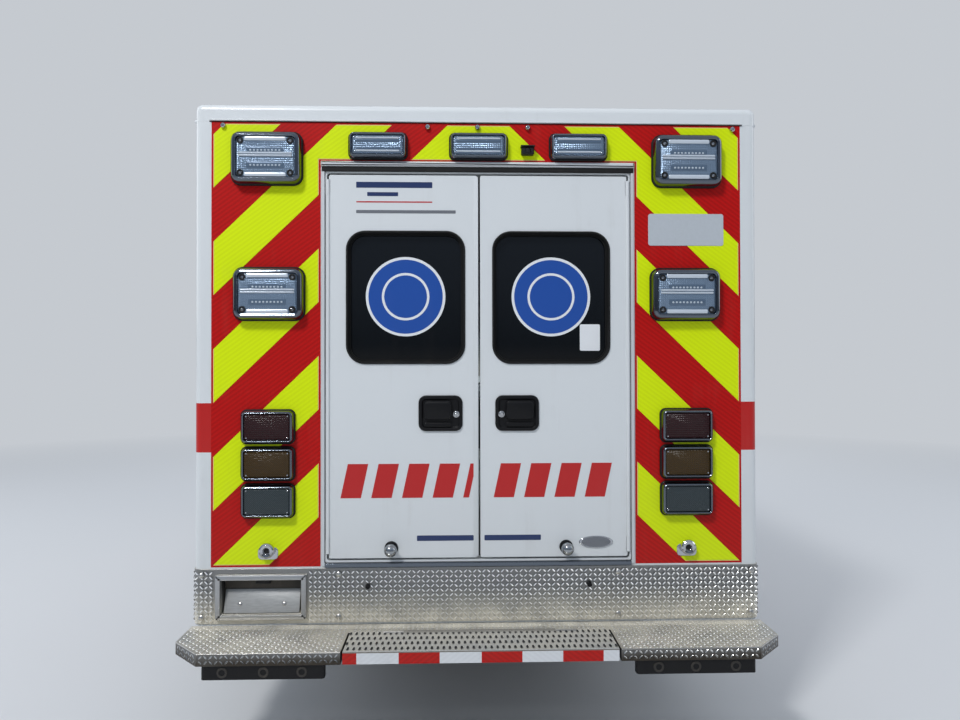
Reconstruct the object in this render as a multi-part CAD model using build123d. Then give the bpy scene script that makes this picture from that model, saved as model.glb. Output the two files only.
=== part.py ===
from build123d import *
from math import cos, hypot, radians, sin
import os

# A box-bodied ambulance: a square patient module on the ladder frame of a cutaway van, with the
# van's cab in front of it. Lengths are in millimetres. +X is the kerb side (right), +Y is
# forward and +Z is up. The origin is on the ground, under the middle of the whole vehicle.

os.makedirs("parts", exist_ok=True)

# Driving lengths along the vehicle, from the rear step to the front bumper
STEP_DEPTH = 305
MODULE_L = 4220
CAB_L = 2170
BUMPER_REACH = 105
FRONT_OVERHANG = 760
WHEELBASE = 4013
COWL_REACH = 1415

# Driving widths and heights
MODULE_W = 2312
CAB_W = 2016
ROOF_Z = 2662
SKIRT_Z = 540
FLOOR_Z = 790
CAB_TOP_Z = 2095
ROCKER_Z = 470
BELT_Z = 1300

# Panel thicknesses
WALL_T = 75
END_WALL_T = 60
ROOF_T = 75
FLOOR_T = 90
DOOR_T = 50
CAB_T = 70
NOSE_T = 40
GLASS_T = 6
LINER_T = 15

# Clearances
DOOR_GAP = 8
FIT = 0.3
PIN_PLAY = 1

# Corner radii
CORNER_R = 30
DOOR_R = 30

# Places that follow from the driving lengths
TOTAL_L = STEP_DEPTH + MODULE_L + CAB_L + BUMPER_REACH
Y_BACK = -TOTAL_L / 2
Y_TIP = TOTAL_L / 2
Y_REAR = Y_BACK + STEP_DEPTH
Y_WALL = Y_REAR + MODULE_L
Y_NOSE = Y_WALL + CAB_L
COWL_Y = Y_WALL + COWL_REACH
Y_FRONT_AXLE = Y_TIP - FRONT_OVERHANG
Y_REAR_AXLE = Y_FRONT_AXLE - WHEELBASE
HALF_W = MODULE_W / 2
HALF_CAB = CAB_W / 2
SIDES = (-1, 1)

pieces = {}


def block(x, y, z):
    """A box from its low and high edges on each axis."""
    centre = [(a + b) / 2 for a, b in (x, y, z)]
    return Pos(*centre) * Box(abs(x[1] - x[0]), abs(y[1] - y[0]), abs(z[1] - z[0]))


def spread(side, low, high):
    """An x range given from the middle outwards, on one side of the vehicle."""
    return (side * low, side * high) if side > 0 else (side * high, side * low)


def bar(axis, at, radius, start, end):
    """A round bar along an axis. at holds its place on the two other axes, in X, Y, Z order."""
    origin, direction = {
        "X": ((start, at[0], at[1]), (1, 0, 0)),
        "Y": ((at[0], start, at[1]), (0, 1, 0)),
        "Z": ((at[0], at[1], start), (0, 0, 1)),
    }[axis]
    low = (Align.CENTER, Align.CENTER, Align.MIN)
    return Plane(origin=origin, z_dir=direction) * Cylinder(radius, end - start, align=low)


def panel(axis, a, b, depth, radius):
    """A slab across an axis with a rounded outline: a and b are its ranges on the other two axes."""
    mid_a, mid_b = (a[0] + a[1]) / 2, (b[0] + b[1]) / 2
    plane = {
        "X": Plane(origin=(depth[0], mid_a, mid_b), x_dir=(0, 1, 0), z_dir=(1, 0, 0)),
        "Y": Plane(origin=(mid_a, depth[0], mid_b), x_dir=(-1, 0, 0), z_dir=(0, 1, 0)),
        "Z": Plane(origin=(mid_a, mid_b, depth[0]), x_dir=(1, 0, 0), z_dir=(0, 0, 1)),
    }[axis]
    outline = RectangleRounded(a[1] - a[0], b[1] - b[0], radius)
    return extrude(plane * outline, amount=depth[1] - depth[0])


def prism(plane, points, start, end, radius=0):
    """A polygon drawn on a plane and extruded along its normal, with its corners rounded."""
    face = make_face(Polyline(*points, close=True)).face()
    if radius:
        face = face.fillet_2d(radius, face.vertices())
    return extrude(plane.offset(start) * face, amount=end - start)


def grown(span, by):
    """A range made longer at both ends, or shorter where by is negative."""
    return (span[0] - by, span[1] + by)


def mirrored(shape):
    return mirror(shape, Plane.YZ)


def group(*shapes):
    """Several solids that share a node."""
    return Compound(children=[s for shape in shapes for s in shape.solids()])


# Hinges: knuckles on one straight pin line that lies in the outer face, in the middle of the gap
HINGE_R = 8
KNUCKLE_L = 60


def knuckles(start, end):
    """Frame knuckles at both ends of a hinge and the leaf's knuckle between them."""
    return [
        (start, start + KNUCKLE_L, False),
        (start + KNUCKLE_L + FIT, end - KNUCKLE_L - FIT, True),
        (end - KNUCKLE_L, end, False),
    ]


def hinge(leaf, frame, axis, at, spans):
    """Cuts each knuckle's seat from the other piece and then adds the knuckles."""
    for start, end, on_leaf in spans:
        other = frame if on_leaf else leaf
        pieces[other] -= bar(axis, at, HINGE_R + PIN_PLAY, start - FIT, end + FIT)
    for start, end, on_leaf in spans:
        owner = leaf if on_leaf else frame
        pieces[owner] += bar(axis, at, HINGE_R, start, end)


# Wheels: a steel wheel with the disc set far to one side, so that two of them pair at the back
TYRE_R = 372
TYRE_W = 225
BEAD_R = 206
RIM_HALF_W = 88
RIM_T = 12
FLANGE_R = 218
RIM_OFFSET = 130
DISC_T = 10
DISC_R = 150
VENT_COUNT = 8
VENT_R = 17
VENT_CIRCLE_R = 121
HUB_R = 62
FRONT_TRACK = 1764
DUAL_OUTER_X = 997
Z_AXLE = TYRE_R


def revolved(points):
    """A ring about the X axis from its section, given as (x, radius) points."""
    face = make_face(Polyline(*points, close=True)).face()
    return revolve(face, Axis.X, 360)


def tyre(x):
    """The section runs bead, bulged wall, shoulder and tread on both sides of the middle."""
    half, shoulder = TYRE_W / 2, TYRE_W / 2 - 12
    bead = RIM_HALF_W - 4
    bead_top = FLANGE_R + 4
    wall_r = (BEAD_R + TYRE_R) / 2 + 6
    tread = half - 30
    outline = Polyline((-bead, bead_top), (-bead, BEAD_R), (bead, BEAD_R), (bead, bead_top))
    outline += ThreePointArc((bead, bead_top), (half, wall_r), (shoulder, TYRE_R - 18))
    outline += ThreePointArc((shoulder, TYRE_R - 18), (shoulder - 6, TYRE_R - 6), (tread, TYRE_R))
    outline += Line((tread, TYRE_R), (-tread, TYRE_R))
    outline += ThreePointArc((-tread, TYRE_R), (6 - shoulder, TYRE_R - 6), (-shoulder, TYRE_R - 18))
    outline += ThreePointArc((-shoulder, TYRE_R - 18), (-half, wall_r), (-bead, bead_top))
    ring = revolve(make_face(outline).face(), Axis.X, 360)
    return Pos(x, 0, 0) * ring


def wheel(x, outward):
    """A wheel centred at x about the X axis, with its disc towards outward, which is 1 or -1."""
    outer_r = BEAD_R - FIT
    inner_r = outer_r - RIM_T
    face = RIM_OFFSET
    barrel = revolved(
        [(-RIM_HALF_W - 6, inner_r), (-RIM_HALF_W - 6, FLANGE_R), (-RIM_HALF_W + 2, FLANGE_R),
         (-RIM_HALF_W + 2, outer_r), (RIM_HALF_W - 2, outer_r), (RIM_HALF_W - 2, FLANGE_R),
         (RIM_HALF_W + 6, FLANGE_R), (RIM_HALF_W + 6, inner_r)]
    )
    dish = revolved(
        [(RIM_HALF_W - 26, inner_r + 1), (face - DISC_T, DISC_R), (face, DISC_R - 10),
         (face, HUB_R - 6), (face - DISC_T, HUB_R - 6), (face - DISC_T, DISC_R - 16),
         (RIM_HALF_W - 40, inner_r - 6), (RIM_HALF_W - 40, inner_r + 1)]
    )
    for i in range(VENT_COUNT):
        turn = radians((i + 0.5) * 360 / VENT_COUNT)
        at = (VENT_CIRCLE_R * cos(turn), VENT_CIRCLE_R * sin(turn))
        dish -= bar("X", at, VENT_R, face - 60, face + 60)
    whole = barrel + dish
    if outward < 0:
        whole = mirrored(whole)
    return Pos(x, 0, 0) * whole


# Front wheels turn on a spindle, and each spindle's knuckle turns on an upright kingpin
KINGPIN_X = 800
KINGPIN_R = 12
BOSS_R = 30
SPINDLE_R = 30
FRONT_X = FRONT_TRACK / 2
FRONT_FACE_X = FRONT_X + RIM_OFFSET
HUB_BACK_X = FRONT_FACE_X - 62
HUB_NOSE_X = FRONT_FACE_X + 42
SPINDLE_END_X = FRONT_FACE_X + 8
BRAKE_R = 150
BRAKE_T = 26
BOSS_Z = (Z_AXLE - 80, Z_AXLE + 80)
EAR_H = 30
at_front_axle = Pos(0, Y_FRONT_AXLE, Z_AXLE)

front_tyre = at_front_axle * tyre(FRONT_X)
hub = bar("X", (0, 0), HUB_R, HUB_BACK_X, HUB_NOSE_X)
hub = fillet(hub.edges().sort_by(Axis.X)[-1], 22)
rotor = bar("X", (0, 0), BRAKE_R, HUB_BACK_X - BRAKE_T, HUB_BACK_X)
bore = bar("X", (0, 0), SPINDLE_R + FIT, HUB_BACK_X - BRAKE_T - 1, SPINDLE_END_X + 5)
front_rim = at_front_axle * (wheel(FRONT_X, 1) + hub + rotor - bore)

boss = bar("Z", (KINGPIN_X, 0), BOSS_R, BOSS_Z[0] - Z_AXLE + FIT, BOSS_Z[1] - Z_AXLE - FIT)
spindle = bar("X", (0, 0), SPINDLE_R, KINGPIN_X, SPINDLE_END_X)
collar = bar("X", (0, 0), SPINDLE_R + 20, KINGPIN_X, HUB_BACK_X - BRAKE_T - 6)
pin_bore = bar("Z", (KINGPIN_X, 0), KINGPIN_R + FIT, -100, 100)
knuckle = at_front_axle * (boss + spindle + collar - pin_bore)

pieces["front_right_tyre"] = front_tyre
pieces["front_right_rim"] = front_rim
pieces["right_knuckle"] = knuckle
pieces["front_left_tyre"] = mirrored(front_tyre)
pieces["front_left_rim"] = mirrored(front_rim)
pieces["left_knuckle"] = mirrored(knuckle)

# Rear wheels: the outer one faces in and the inner one faces out, disc to disc on one hub
DUAL_PLANE_X = DUAL_OUTER_X - RIM_OFFSET
DUAL_INNER_X = DUAL_PLANE_X - RIM_OFFSET
REAR_SPINDLE_R = 45
REAR_HUB_R = 70
REAR_HUB_NOSE_X = DUAL_PLANE_X + 95
REAR_SPINDLE_END_X = DUAL_PLANE_X + 60
DRUM_R = 160
DRUM_X = (DUAL_INNER_X - 20, DUAL_PLANE_X - 14)
at_rear_axle = Pos(0, Y_REAR_AXLE, Z_AXLE)

rear_tyres = group(at_rear_axle * tyre(DUAL_OUTER_X), at_rear_axle * tyre(DUAL_INNER_X))
rear_hub = bar("X", (0, 0), REAR_HUB_R, DRUM_X[0], REAR_HUB_NOSE_X)
rear_hub = fillet(rear_hub.edges().sort_by(Axis.X)[-1], 18)
drum = bar("X", (0, 0), DRUM_R, *DRUM_X)
rear_bore = bar("X", (0, 0), REAR_SPINDLE_R + FIT, DRUM_X[0] - 1, REAR_SPINDLE_END_X + 5)
rear_rims = at_rear_axle * (
    wheel(DUAL_OUTER_X, -1) + wheel(DUAL_INNER_X, 1) + rear_hub + drum - rear_bore
)
pieces["rear_right_tyres"] = rear_tyres
pieces["rear_right_rims"] = rear_rims
pieces["rear_left_tyres"] = mirrored(rear_tyres)
pieces["rear_left_rims"] = mirrored(rear_rims)

# Ladder frame: two channel rails with cross members under their tops, and body sills above them
RAIL_X = (335, 410)
RAIL_Z = (475, 655)
RAIL_Y = (Y_REAR + 75, Y_TIP - 75)
RAIL_WEB_T = 12
CROSS_W = 80
CROSS_Z = (600, 655)
CROSS_YS = (
    Y_FRONT_AXLE - 1140, Y_FRONT_AXLE - 2040, Y_REAR_AXLE + 1073,
    Y_REAR_AXLE - 677, Y_REAR + 445, Y_REAR + 115,
)
SILL_X = 560
SILL_W = 60
SILL_YS = (Y_WALL - 125, Y_WALL - 875, Y_WALL - 1575, Y_REAR_AXLE + 523, Y_REAR_AXLE - 557, Y_REAR + 165)
FRONT_CROSS_Y = Y_TIP - 220
CAB_MOUNT_YS = (Y_WALL + 175, COWL_Y - 240)
CAB_FLOOR_Z = (RAIL_Z[1] + 10, RAIL_Z[1] + 50)

rails = None
for side in SIDES:
    rail = block(spread(side, *RAIL_X), RAIL_Y, RAIL_Z)
    hollow = (RAIL_X[0] - 1, RAIL_X[1] - RAIL_WEB_T)
    rail -= block(spread(side, *hollow), grown(RAIL_Y, 1), grown(RAIL_Z, -RAIL_WEB_T))
    rails = rail if rails is None else rails + rail
    for y in CAB_MOUNT_YS:
        rails += block(spread(side, *RAIL_X), (y - 40, y + 40), (RAIL_Z[1], CAB_FLOOR_Z[0]))
for y in CROSS_YS:
    rails += block((-RAIL_X[1] + 5, RAIL_X[1] - 5), (y - CROSS_W / 2, y + CROSS_W / 2), CROSS_Z)
rails += block((-RAIL_X[1] + 5, RAIL_X[1] - 5), grown((FRONT_CROSS_Y,) * 2, CROSS_W / 2), (482, 540))
for y in SILL_YS:
    rails += block((-SILL_X, SILL_X), (y - SILL_W / 2, y + SILL_W / 2), (RAIL_Z[1], FLOOR_Z - FLOOR_T))

# Tow eyes: a plate with a round eye under the front end of each rail
EYE_R = 20
EYE_X = (360, 385)
EYE_Y = Y_TIP - 130
EYE_Z = 415
for side in SIDES:
    plate = block(spread(side, *EYE_X), grown((EYE_Y,) * 2, 45), (EYE_Z - 40, RAIL_Z[0] + 5))
    rails += plate - bar("X", (EYE_Y, EYE_Z), EYE_R, -HALF_CAB, HALF_CAB)
pieces["frame_rails"] = rails

# Front suspension: one beam under the rails, with a fork at each end and a coil spring on it
BEAM_HALF_Y = 38
BEAM_Z = (Z_AXLE - 62, Z_AXLE + 8)
FORK_X = (KINGPIN_X - 48, KINGPIN_X - BOSS_R - 6)
COIL_X = 478
COIL_R = 60
TOWER_Z = (600, RAIL_Z[1])
beam = block((-FORK_X[1], FORK_X[1]), grown((Y_FRONT_AXLE,) * 2, BEAM_HALF_Y), BEAM_Z)
for side in SIDES:
    fork_z = grown(BOSS_Z, EAR_H)
    fork_y = grown((Y_FRONT_AXLE,) * 2, BOSS_R)
    beam += block(spread(side, *FORK_X), fork_y, fork_z)
    pin_at = (side * KINGPIN_X, Y_FRONT_AXLE)
    for ear_z in ((fork_z[0], BOSS_Z[0]), (BOSS_Z[1], fork_z[1])):
        beam += block(spread(side, FORK_X[0], KINGPIN_X), fork_y, ear_z)
        beam += bar("Z", pin_at, BOSS_R, *ear_z)
    beam += bar("Z", pin_at, KINGPIN_R, *fork_z)
    beam += bar("Z", (side * COIL_X, Y_FRONT_AXLE), COIL_R, BEAM_Z[1] - 5, TOWER_Z[0] + 5)
    beam += block(
        spread(side, RAIL_X[1], COIL_X + COIL_R + 5), grown((Y_FRONT_AXLE,) * 2, COIL_R + 5), TOWER_Z
    )
pieces["front_suspension"] = beam

# Rear suspension: axle tube with its gear case, a spindle in each hub, and two leaf springs
TUBE_R = 60
TUBE_HALF = 640
CASE_R = 165
LEAF_X = (466, 534)
LEAF_T = 60
LEAF_REACH = 640
LEAF_RISE = 70
LEAF_TIP_T = 16
HANGER_HALF = 35
CASE_HALF = 80
CASE_EDGE_R = 40
CASE_NOSE = 70
axle = bar("X", (Y_REAR_AXLE, Z_AXLE), TUBE_R, -TUBE_HALF, TUBE_HALF)
axle += bar("X", (Y_REAR_AXLE, Z_AXLE), REAR_SPINDLE_R, -REAR_SPINDLE_END_X, REAR_SPINDLE_END_X)
axle += fillet(bar("X", (Y_REAR_AXLE, Z_AXLE), CASE_R, -CASE_HALF, CASE_HALF).edges(), CASE_EDGE_R)
axle += bar("Y", (0, Z_AXLE), TUBE_R + 10, Y_REAR_AXLE, Y_REAR_AXLE + CASE_R + CASE_NOSE)
leaf_bottom = Z_AXLE + TUBE_R - 4
for side in SIDES:
    ends = [(Y_REAR_AXLE + end * LEAF_REACH, leaf_bottom + LEAF_RISE) for end in SIDES]
    tips = [(y, z + LEAF_TIP_T) for y, z in ends]
    lower = ThreePointArc(ends[0], (Y_REAR_AXLE, leaf_bottom), ends[1])
    upper = ThreePointArc(tips[0], (Y_REAR_AXLE, leaf_bottom + LEAF_T), tips[1])
    caps = Line(ends[0], tips[0]) + Line(ends[1], tips[1])
    leaf = make_face(lower + upper + caps).face()
    plane = Plane(origin=(spread(side, *LEAF_X)[0], 0, 0), x_dir=(0, 1, 0), z_dir=(1, 0, 0))
    axle += extrude(plane * leaf, amount=LEAF_X[1] - LEAF_X[0])
    for y, z in ends:
        hanger_x = spread(side, RAIL_X[1], LEAF_X[1] + 6)
        axle += block(hanger_x, grown((y, y), HANGER_HALF), (z - 15, RAIL_Z[1] - 35))
pieces["rear_suspension"] = axle

# Engine and gearbox: one plain block each at their real place, on two mounts between the rails
ENGINE_Y = (COWL_Y, Y_NOSE - 175)
ENGINE_Z = (500, 1000)
ENGINE_HALF = 290
BOX_Y = (COWL_Y - 840, COWL_Y)
BOX_Z = (445, 640)
BOX_HALF = 150
MOUNT_Y = (Y_FRONT_AXLE + 150, Y_FRONT_AXLE + 250)
MOUNT_Z = (RAIL_Z[0] + 70, RAIL_Z[0] + 125)
engine = block((-ENGINE_HALF, ENGINE_HALF), ENGINE_Y, ENGINE_Z)
engine += block((-BOX_HALF, BOX_HALF), BOX_Y, BOX_Z)
for side in SIDES:
    engine += block(spread(side, ENGINE_HALF - 5, RAIL_X[1] - RAIL_WEB_T), MOUNT_Y, MOUNT_Z)

# Drive shaft: one tube from the gearbox to the axle's nose
SHAFT_R = 42
YOKE_R = 30
YOKE_Z = 545
shaft_from = Vector(0, BOX_Y[0] - FIT, YOKE_Z)
shaft_to = Vector(0, Y_REAR_AXLE + CASE_R + CASE_NOSE + 12, Z_AXLE + 4)
run = shaft_to - shaft_from
low_end = (Align.CENTER, Align.CENTER, Align.MIN)
shaft = Plane(origin=shaft_from + run.normalized() * 8, z_dir=run) * Cylinder(
    SHAFT_R, run.length - 8, align=low_end
)
shaft += bar("Y", (0, YOKE_Z), YOKE_R, BOX_Y[0] - 40, BOX_Y[0] - FIT)
pieces["drivetrain"] = group(engine, shaft)

# Fuel tank: a long box between the rails, behind the axle and under two cross members
TANK_Y = (Y_REAR + 315, Y_REAR_AXLE - 507)
TANK_Z = (CROSS_Z[0] - 200, CROSS_Z[0])
TANK_HALF = RAIL_X[0] - 15
tank = block((-TANK_HALF, TANK_HALF), TANK_Y, TANK_Z)
pieces["fuel_tank"] = fillet(tank.edges().filter_by(Axis.Z) + tank.faces().sort_by(Axis.Z)[0].edges(), 40)

# Exhaust: a pipe from the gearbox's left side, a silencer outside the rail and a tail pipe
PIPE_R = 30
PIPE_Z = 425
SILENCER_R = 92
SILENCER_X = -560
SILENCER_Y = (Y_WALL - 1065, Y_WALL - 485)
OUTLET_Z = 500
PIPE_X = -245
route = [
    (-BOX_HALF - FIT, COWL_Y - 240, OUTLET_Z),
    (PIPE_X, COWL_Y - 240, OUTLET_Z),
    (PIPE_X, Y_WALL + 25, PIPE_Z),
    (SILENCER_X, Y_WALL - 275, PIPE_Z),
    (SILENCER_X, Y_REAR_AXLE + 943, PIPE_Z),
    (-HALF_W + 15, Y_REAR_AXLE + 673, PIPE_Z),
]
line = FilletPolyline(*route, radius=[42, 150, 150, 150])
pipe = sweep(Plane(origin=route[0], z_dir=(-1, 0, 0)) * Circle(PIPE_R), path=line)
silencer = bar("Y", (SILENCER_X, PIPE_Z), SILENCER_R, *SILENCER_Y)
pieces["exhaust"] = pipe + fillet(silencer.edges(), 20)

# Cab form: a section with leaning sides above the belt, cut by a windscreen that is part of a
# leaning drum; and a nose whose bonnet is part of a second, flatter drum
SCREEN_BASE = (COWL_Y + 10, BELT_Z + 30)
SCREEN_TOP = (COWL_Y - 580, CAB_TOP_Z - 85)
SCREEN_R = 3200
BONNET_BASE = (COWL_Y, BELT_Z + 30)
BONNET_TIP = (Y_NOSE - 5, BELT_Z - 215)
BONNET_R = 6000
TUMBLE = 122
ROOF_CROWN = 28
NOSE_CORNER_R = 230
NOSE_BOW = 60
EDGE_R = 90
FIREWALL_Y = (COWL_Y - 70, COWL_Y - 20)


def slope(base, tip):
    """Direction up a slope in the YZ plane, and the outward normal, which points forward and up."""
    dy, dz = tip[0] - base[0], tip[1] - base[1]
    length = hypot(dy, dz)
    along = Vector(0, dy / length, dz / length)
    out = Vector(0, abs(along.Z), abs(along.Y))
    return along, out


def leaning_drum(base, tip, radius, inset):
    """A big solid drum that lies along the slope, with its skin inset below the slope's middle line."""
    along, out = slope(base, tip)
    centre = Vector(0, *base) - out * radius
    start = centre - along * TOTAL_L / 2
    return Plane(origin=start, z_dir=along) * Cylinder(radius - inset, TOTAL_L, align=low_end)


def cab_form(inset, y, floor_z):
    """The cab from its rear wall to the cowl, shrunk by inset."""
    half = HALF_CAB - inset
    top = CAB_TOP_Z - inset
    corner = (HALF_CAB - TUMBLE - inset, top - ROOF_CROWN - 20)
    sides = Polyline(
        (-corner[0], corner[1]), (-half, BELT_Z), (-half, floor_z), (half, floor_z), (half, BELT_Z), corner
    )
    roof = ThreePointArc(corner, (0, top), (-corner[0], corner[1]))
    face = make_face(sides + roof).face()
    face = face.fillet_2d(110 - inset / 2, [v for v in face.vertices() if abs(v.Y - corner[1]) < 1])
    face = face.fillet_2d(300, [v for v in face.vertices() if abs(v.Y - BELT_Z) < 1])
    plane = Plane(origin=(0, y[0], 0), x_dir=(-1, 0, 0), z_dir=(0, 1, 0))
    return extrude(plane * face, amount=y[1] - y[0]) & leaning_drum(SCREEN_BASE, SCREEN_TOP, SCREEN_R, inset)


def nose_plan(half, y_from, y_tip, radius):
    """A bowed front with rounded corners, seen from above."""
    shoulder = y_tip - NOSE_BOW
    sides = Polyline((-half, shoulder), (-half, y_from), (half, y_from), (half, shoulder))
    face = make_face(sides + ThreePointArc((half, shoulder), (0, y_tip), (-half, shoulder))).face()
    return face.fillet_2d(radius, [v for v in face.vertices() if abs(v.Y - shoulder) < 1])


def nose_form(inset, y_from, floor_z):
    """The wings and bonnet in front of the doors, shrunk by inset."""
    plan = nose_plan(HALF_CAB - inset, y_from, Y_NOSE - inset, NOSE_CORNER_R - inset)
    body = extrude(Pos(0, 0, floor_z) * plan, amount=ROOF_Z - floor_z)
    return body & leaning_drum(BONNET_BASE, BONNET_TIP, BONNET_R, inset)


def skin_edges(shape, base, tip, radius):
    """The edges that a leaning drum's skin made on a shape."""
    along, out = slope(base, tip)
    centre = Vector(0, *base) - out * radius
    found = []
    for edge in shape.edges():
        distances = []
        for share in (0.05, 0.35, 0.65, 0.95):
            offset = edge.position_at(share) - centre
            distances.append((offset - along * offset.dot(along)).length)
        if max(abs(d - radius) for d in distances) < 1:
            found.append(edge)
    return found


DOOR_Y = (Y_WALL + 80, COWL_Y - 390)
cab_outer = cab_form(0, (Y_WALL, COWL_Y + 20), ROCKER_Z)
pillar_edges = skin_edges(cab_outer, SCREEN_BASE, SCREEN_TOP, SCREEN_R)
cab_outer = cab_outer.fillet(EDGE_R, [e for e in pillar_edges if abs(e.center().Y - COWL_Y - 20) > 1])
nose_outer = nose_form(0, DOOR_Y[1], ROCKER_Z)
wing_edges = skin_edges(nose_outer, BONNET_BASE, BONNET_TIP, BONNET_R)
nose_outer = nose_outer.fillet(EDGE_R, [e for e in wing_edges if abs(e.center().Y - DOOR_Y[1]) > 1])
cab_room = cab_form(CAB_T, (Y_WALL - 1, FIREWALL_Y[0]), CAB_FLOOR_Z[1])
cab_room -= block((-HALF_CAB, HALF_CAB), (FIREWALL_Y[0] - 60, COWL_Y), (BELT_Z - 50, BELT_Z + 200))
nose_room = nose_form(NOSE_T, FIREWALL_Y[1], 0)
skin = cab_outer + nose_outer - cab_room - nose_room
skin -= block((CAB_T - HALF_CAB, HALF_CAB - CAB_T), (Y_WALL - 1, COWL_Y + 100), (0, CAB_FLOOR_Z[0]))

# Doorways of the cab: the rear edge leans inwards so that the leaning door top can swing out
REAR_EDGE_LEAN = 0.09
PILLAR_W = 105
DOOR_TOP_Z = CAB_TOP_Z - 130
DOOR_BOTTOM_Z = ROCKER_Z + 30
SCREEN_SIDE_Y = COWL_Y - 173
PILLAR_RUN = (SCREEN_BASE[0] - SCREEN_TOP[0]) / (SCREEN_TOP[1] - SCREEN_BASE[1])
side_plane = Plane(origin=(0, 0, 0), x_dir=(0, 1, 0), z_dir=(1, 0, 0))
half_range = (500, HALF_CAB + 60)


def pillar_y(z, behind):
    """Where a line lies on the side that runs that far behind the windscreen's edge."""
    return SCREEN_SIDE_Y - behind - PILLAR_RUN * (z - SCREEN_BASE[1])


def pillar_z(y, behind):
    return SCREEN_BASE[1] + (SCREEN_SIDE_Y - behind - y) / PILLAR_RUN


def door_outline(gap):
    """The cab door's side view, as (y, z) points, made smaller all round by a gap."""
    behind = PILLAR_W + gap * 1.33
    front, rear = DOOR_Y[1] - gap, DOOR_Y[0] + gap
    top, bottom = DOOR_TOP_Z - gap, DOOR_BOTTOM_Z + gap
    front_top = (front, pillar_z(front, behind))
    return [(front, bottom), front_top, (pillar_y(top, behind), top), (rear, top), (rear, bottom)]


def behind_door(gap):
    """The space behind the door's leaning rear edge, on the right side."""
    inner_x = 500
    outer_x = HALF_CAB + 60
    rear = DOOR_Y[0] + gap
    corners = [
        (outer_x, rear - REAR_EDGE_LEAN * 60),
        (inner_x, rear + REAR_EDGE_LEAN * (HALF_CAB - inner_x)),
        (inner_x, DOOR_Y[0] - 200),
        (outer_x, DOOR_Y[0] - 200),
    ]
    return prism(Plane.XY, corners, 0, ROOF_Z)


floor_edge = block((0, HALF_CAB - CAB_T), grown(DOOR_Y, 300), (0, BELT_Z - 100))
doorway = prism(side_plane, door_outline(0), *half_range, radius=DOOR_R) - behind_door(0) - floor_edge
cab_door = skin & prism(side_plane, door_outline(DOOR_GAP), *half_range, radius=DOOR_R - DOOR_GAP)
cab_door = cab_door - behind_door(DOOR_GAP) - floor_edge

# Door window: a cut-out that follows the door's edges, with its pane let into the thickness
SASH_W = 62
WINDOW_SILL_Z = BELT_Z + 45
GLASS_INSET = 26
window_behind = PILLAR_W + SASH_W * 1.25


def window_outline(fit):
    front, rear = DOOR_Y[1] - SASH_W - fit, DOOR_Y[0] + SASH_W + 20 + fit
    top, sill = DOOR_TOP_Z - SASH_W + 14 - fit, WINDOW_SILL_Z + fit
    behind = window_behind + fit * 1.33
    front_top = (front, pillar_z(front, behind))
    return [(front, sill), front_top, (pillar_y(top, behind), top), (rear, top), (rear, sill)]


cab_door -= prism(side_plane, window_outline(0), *half_range, radius=24)
pane_y = (Y_WALL, COWL_Y)
pane_shell = cab_form(GLASS_INSET, pane_y, ROCKER_Z)
pane_shell -= cab_form(GLASS_INSET + GLASS_T, grown(pane_y, 5), ROCKER_Z - 20)
cab_pane = pane_shell & prism(side_plane, window_outline(FIT), *half_range, radius=24)
pieces["right_cab_door"] = cab_door
pieces["left_cab_door"] = mirrored(cab_door)
pieces["right_door_window"] = cab_pane
pieces["left_door_window"] = mirrored(cab_pane)

# Windscreen: an opening cut square to the slope, and a curved pane let into it
screen_along, screen_out = slope(SCREEN_BASE, SCREEN_TOP)
screen_plane = Plane(origin=Vector(0, *SCREEN_BASE), x_dir=(-1, 0, 0), z_dir=screen_out)
SCREEN_LOW = (74, 852)
SCREEN_HIGH = (808, 762)
SCREEN_INSET = 12


def screen_prism(fit, radius=70):
    low, high = SCREEN_LOW[0] + fit, SCREEN_HIGH[0] - fit
    wide, narrow = SCREEN_LOW[1] - fit, SCREEN_HIGH[1] - fit
    outline = [(-wide, low), (wide, low), (narrow, high), (-narrow, high)]
    return prism(screen_plane, outline, -420, 120, radius)


screen_pane = leaning_drum(SCREEN_BASE, SCREEN_TOP, SCREEN_R, SCREEN_INSET)
screen_pane -= leaning_drum(SCREEN_BASE, SCREEN_TOP, SCREEN_R, SCREEN_INSET + GLASS_T)
screen_pane &= block((-HALF_CAB, HALF_CAB), (Y_WALL, Y_NOSE), (BELT_Z, CAB_TOP_Z))
pieces["windscreen"] = screen_pane & screen_prism(FIT)

# Cab shell: what is left of the skin behind the cowl, with its floor, firewall and wheel housings
WING_T = NOSE_T
ARCH_R = 430
ARCH_IN_X = 550
wing_rear = block((HALF_CAB - WING_T, HALF_CAB + 5), (DOOR_Y[1], COWL_Y), (0, BELT_Z))
shell = skin & block((-HALF_CAB, HALF_CAB), (Y_WALL, COWL_Y), (0, ROOF_Z))
for side in SIDES:
    reach = spread(side, ARCH_IN_X, HALF_CAB - CAB_T)
    liner = bar("X", (Y_FRONT_AXLE, Z_AXLE), ARCH_R + LINER_T, *reach)
    shell += liner & block((-HALF_CAB, HALF_CAB), (Y_WALL, FIREWALL_Y[1]), (CAB_FLOOR_Z[0], ROOF_Z))
    shell -= bar("X", (Y_FRONT_AXLE, Z_AXLE), ARCH_R, *spread(side, ARCH_IN_X, HALF_CAB + 5))
shell = shell - wing_rear - mirrored(wing_rear) - doorway - mirrored(doorway) - screen_prism(0)
pieces["cab_shell"] = shell.solids().sort_by(SortBy.VOLUME)[-1]

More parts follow.
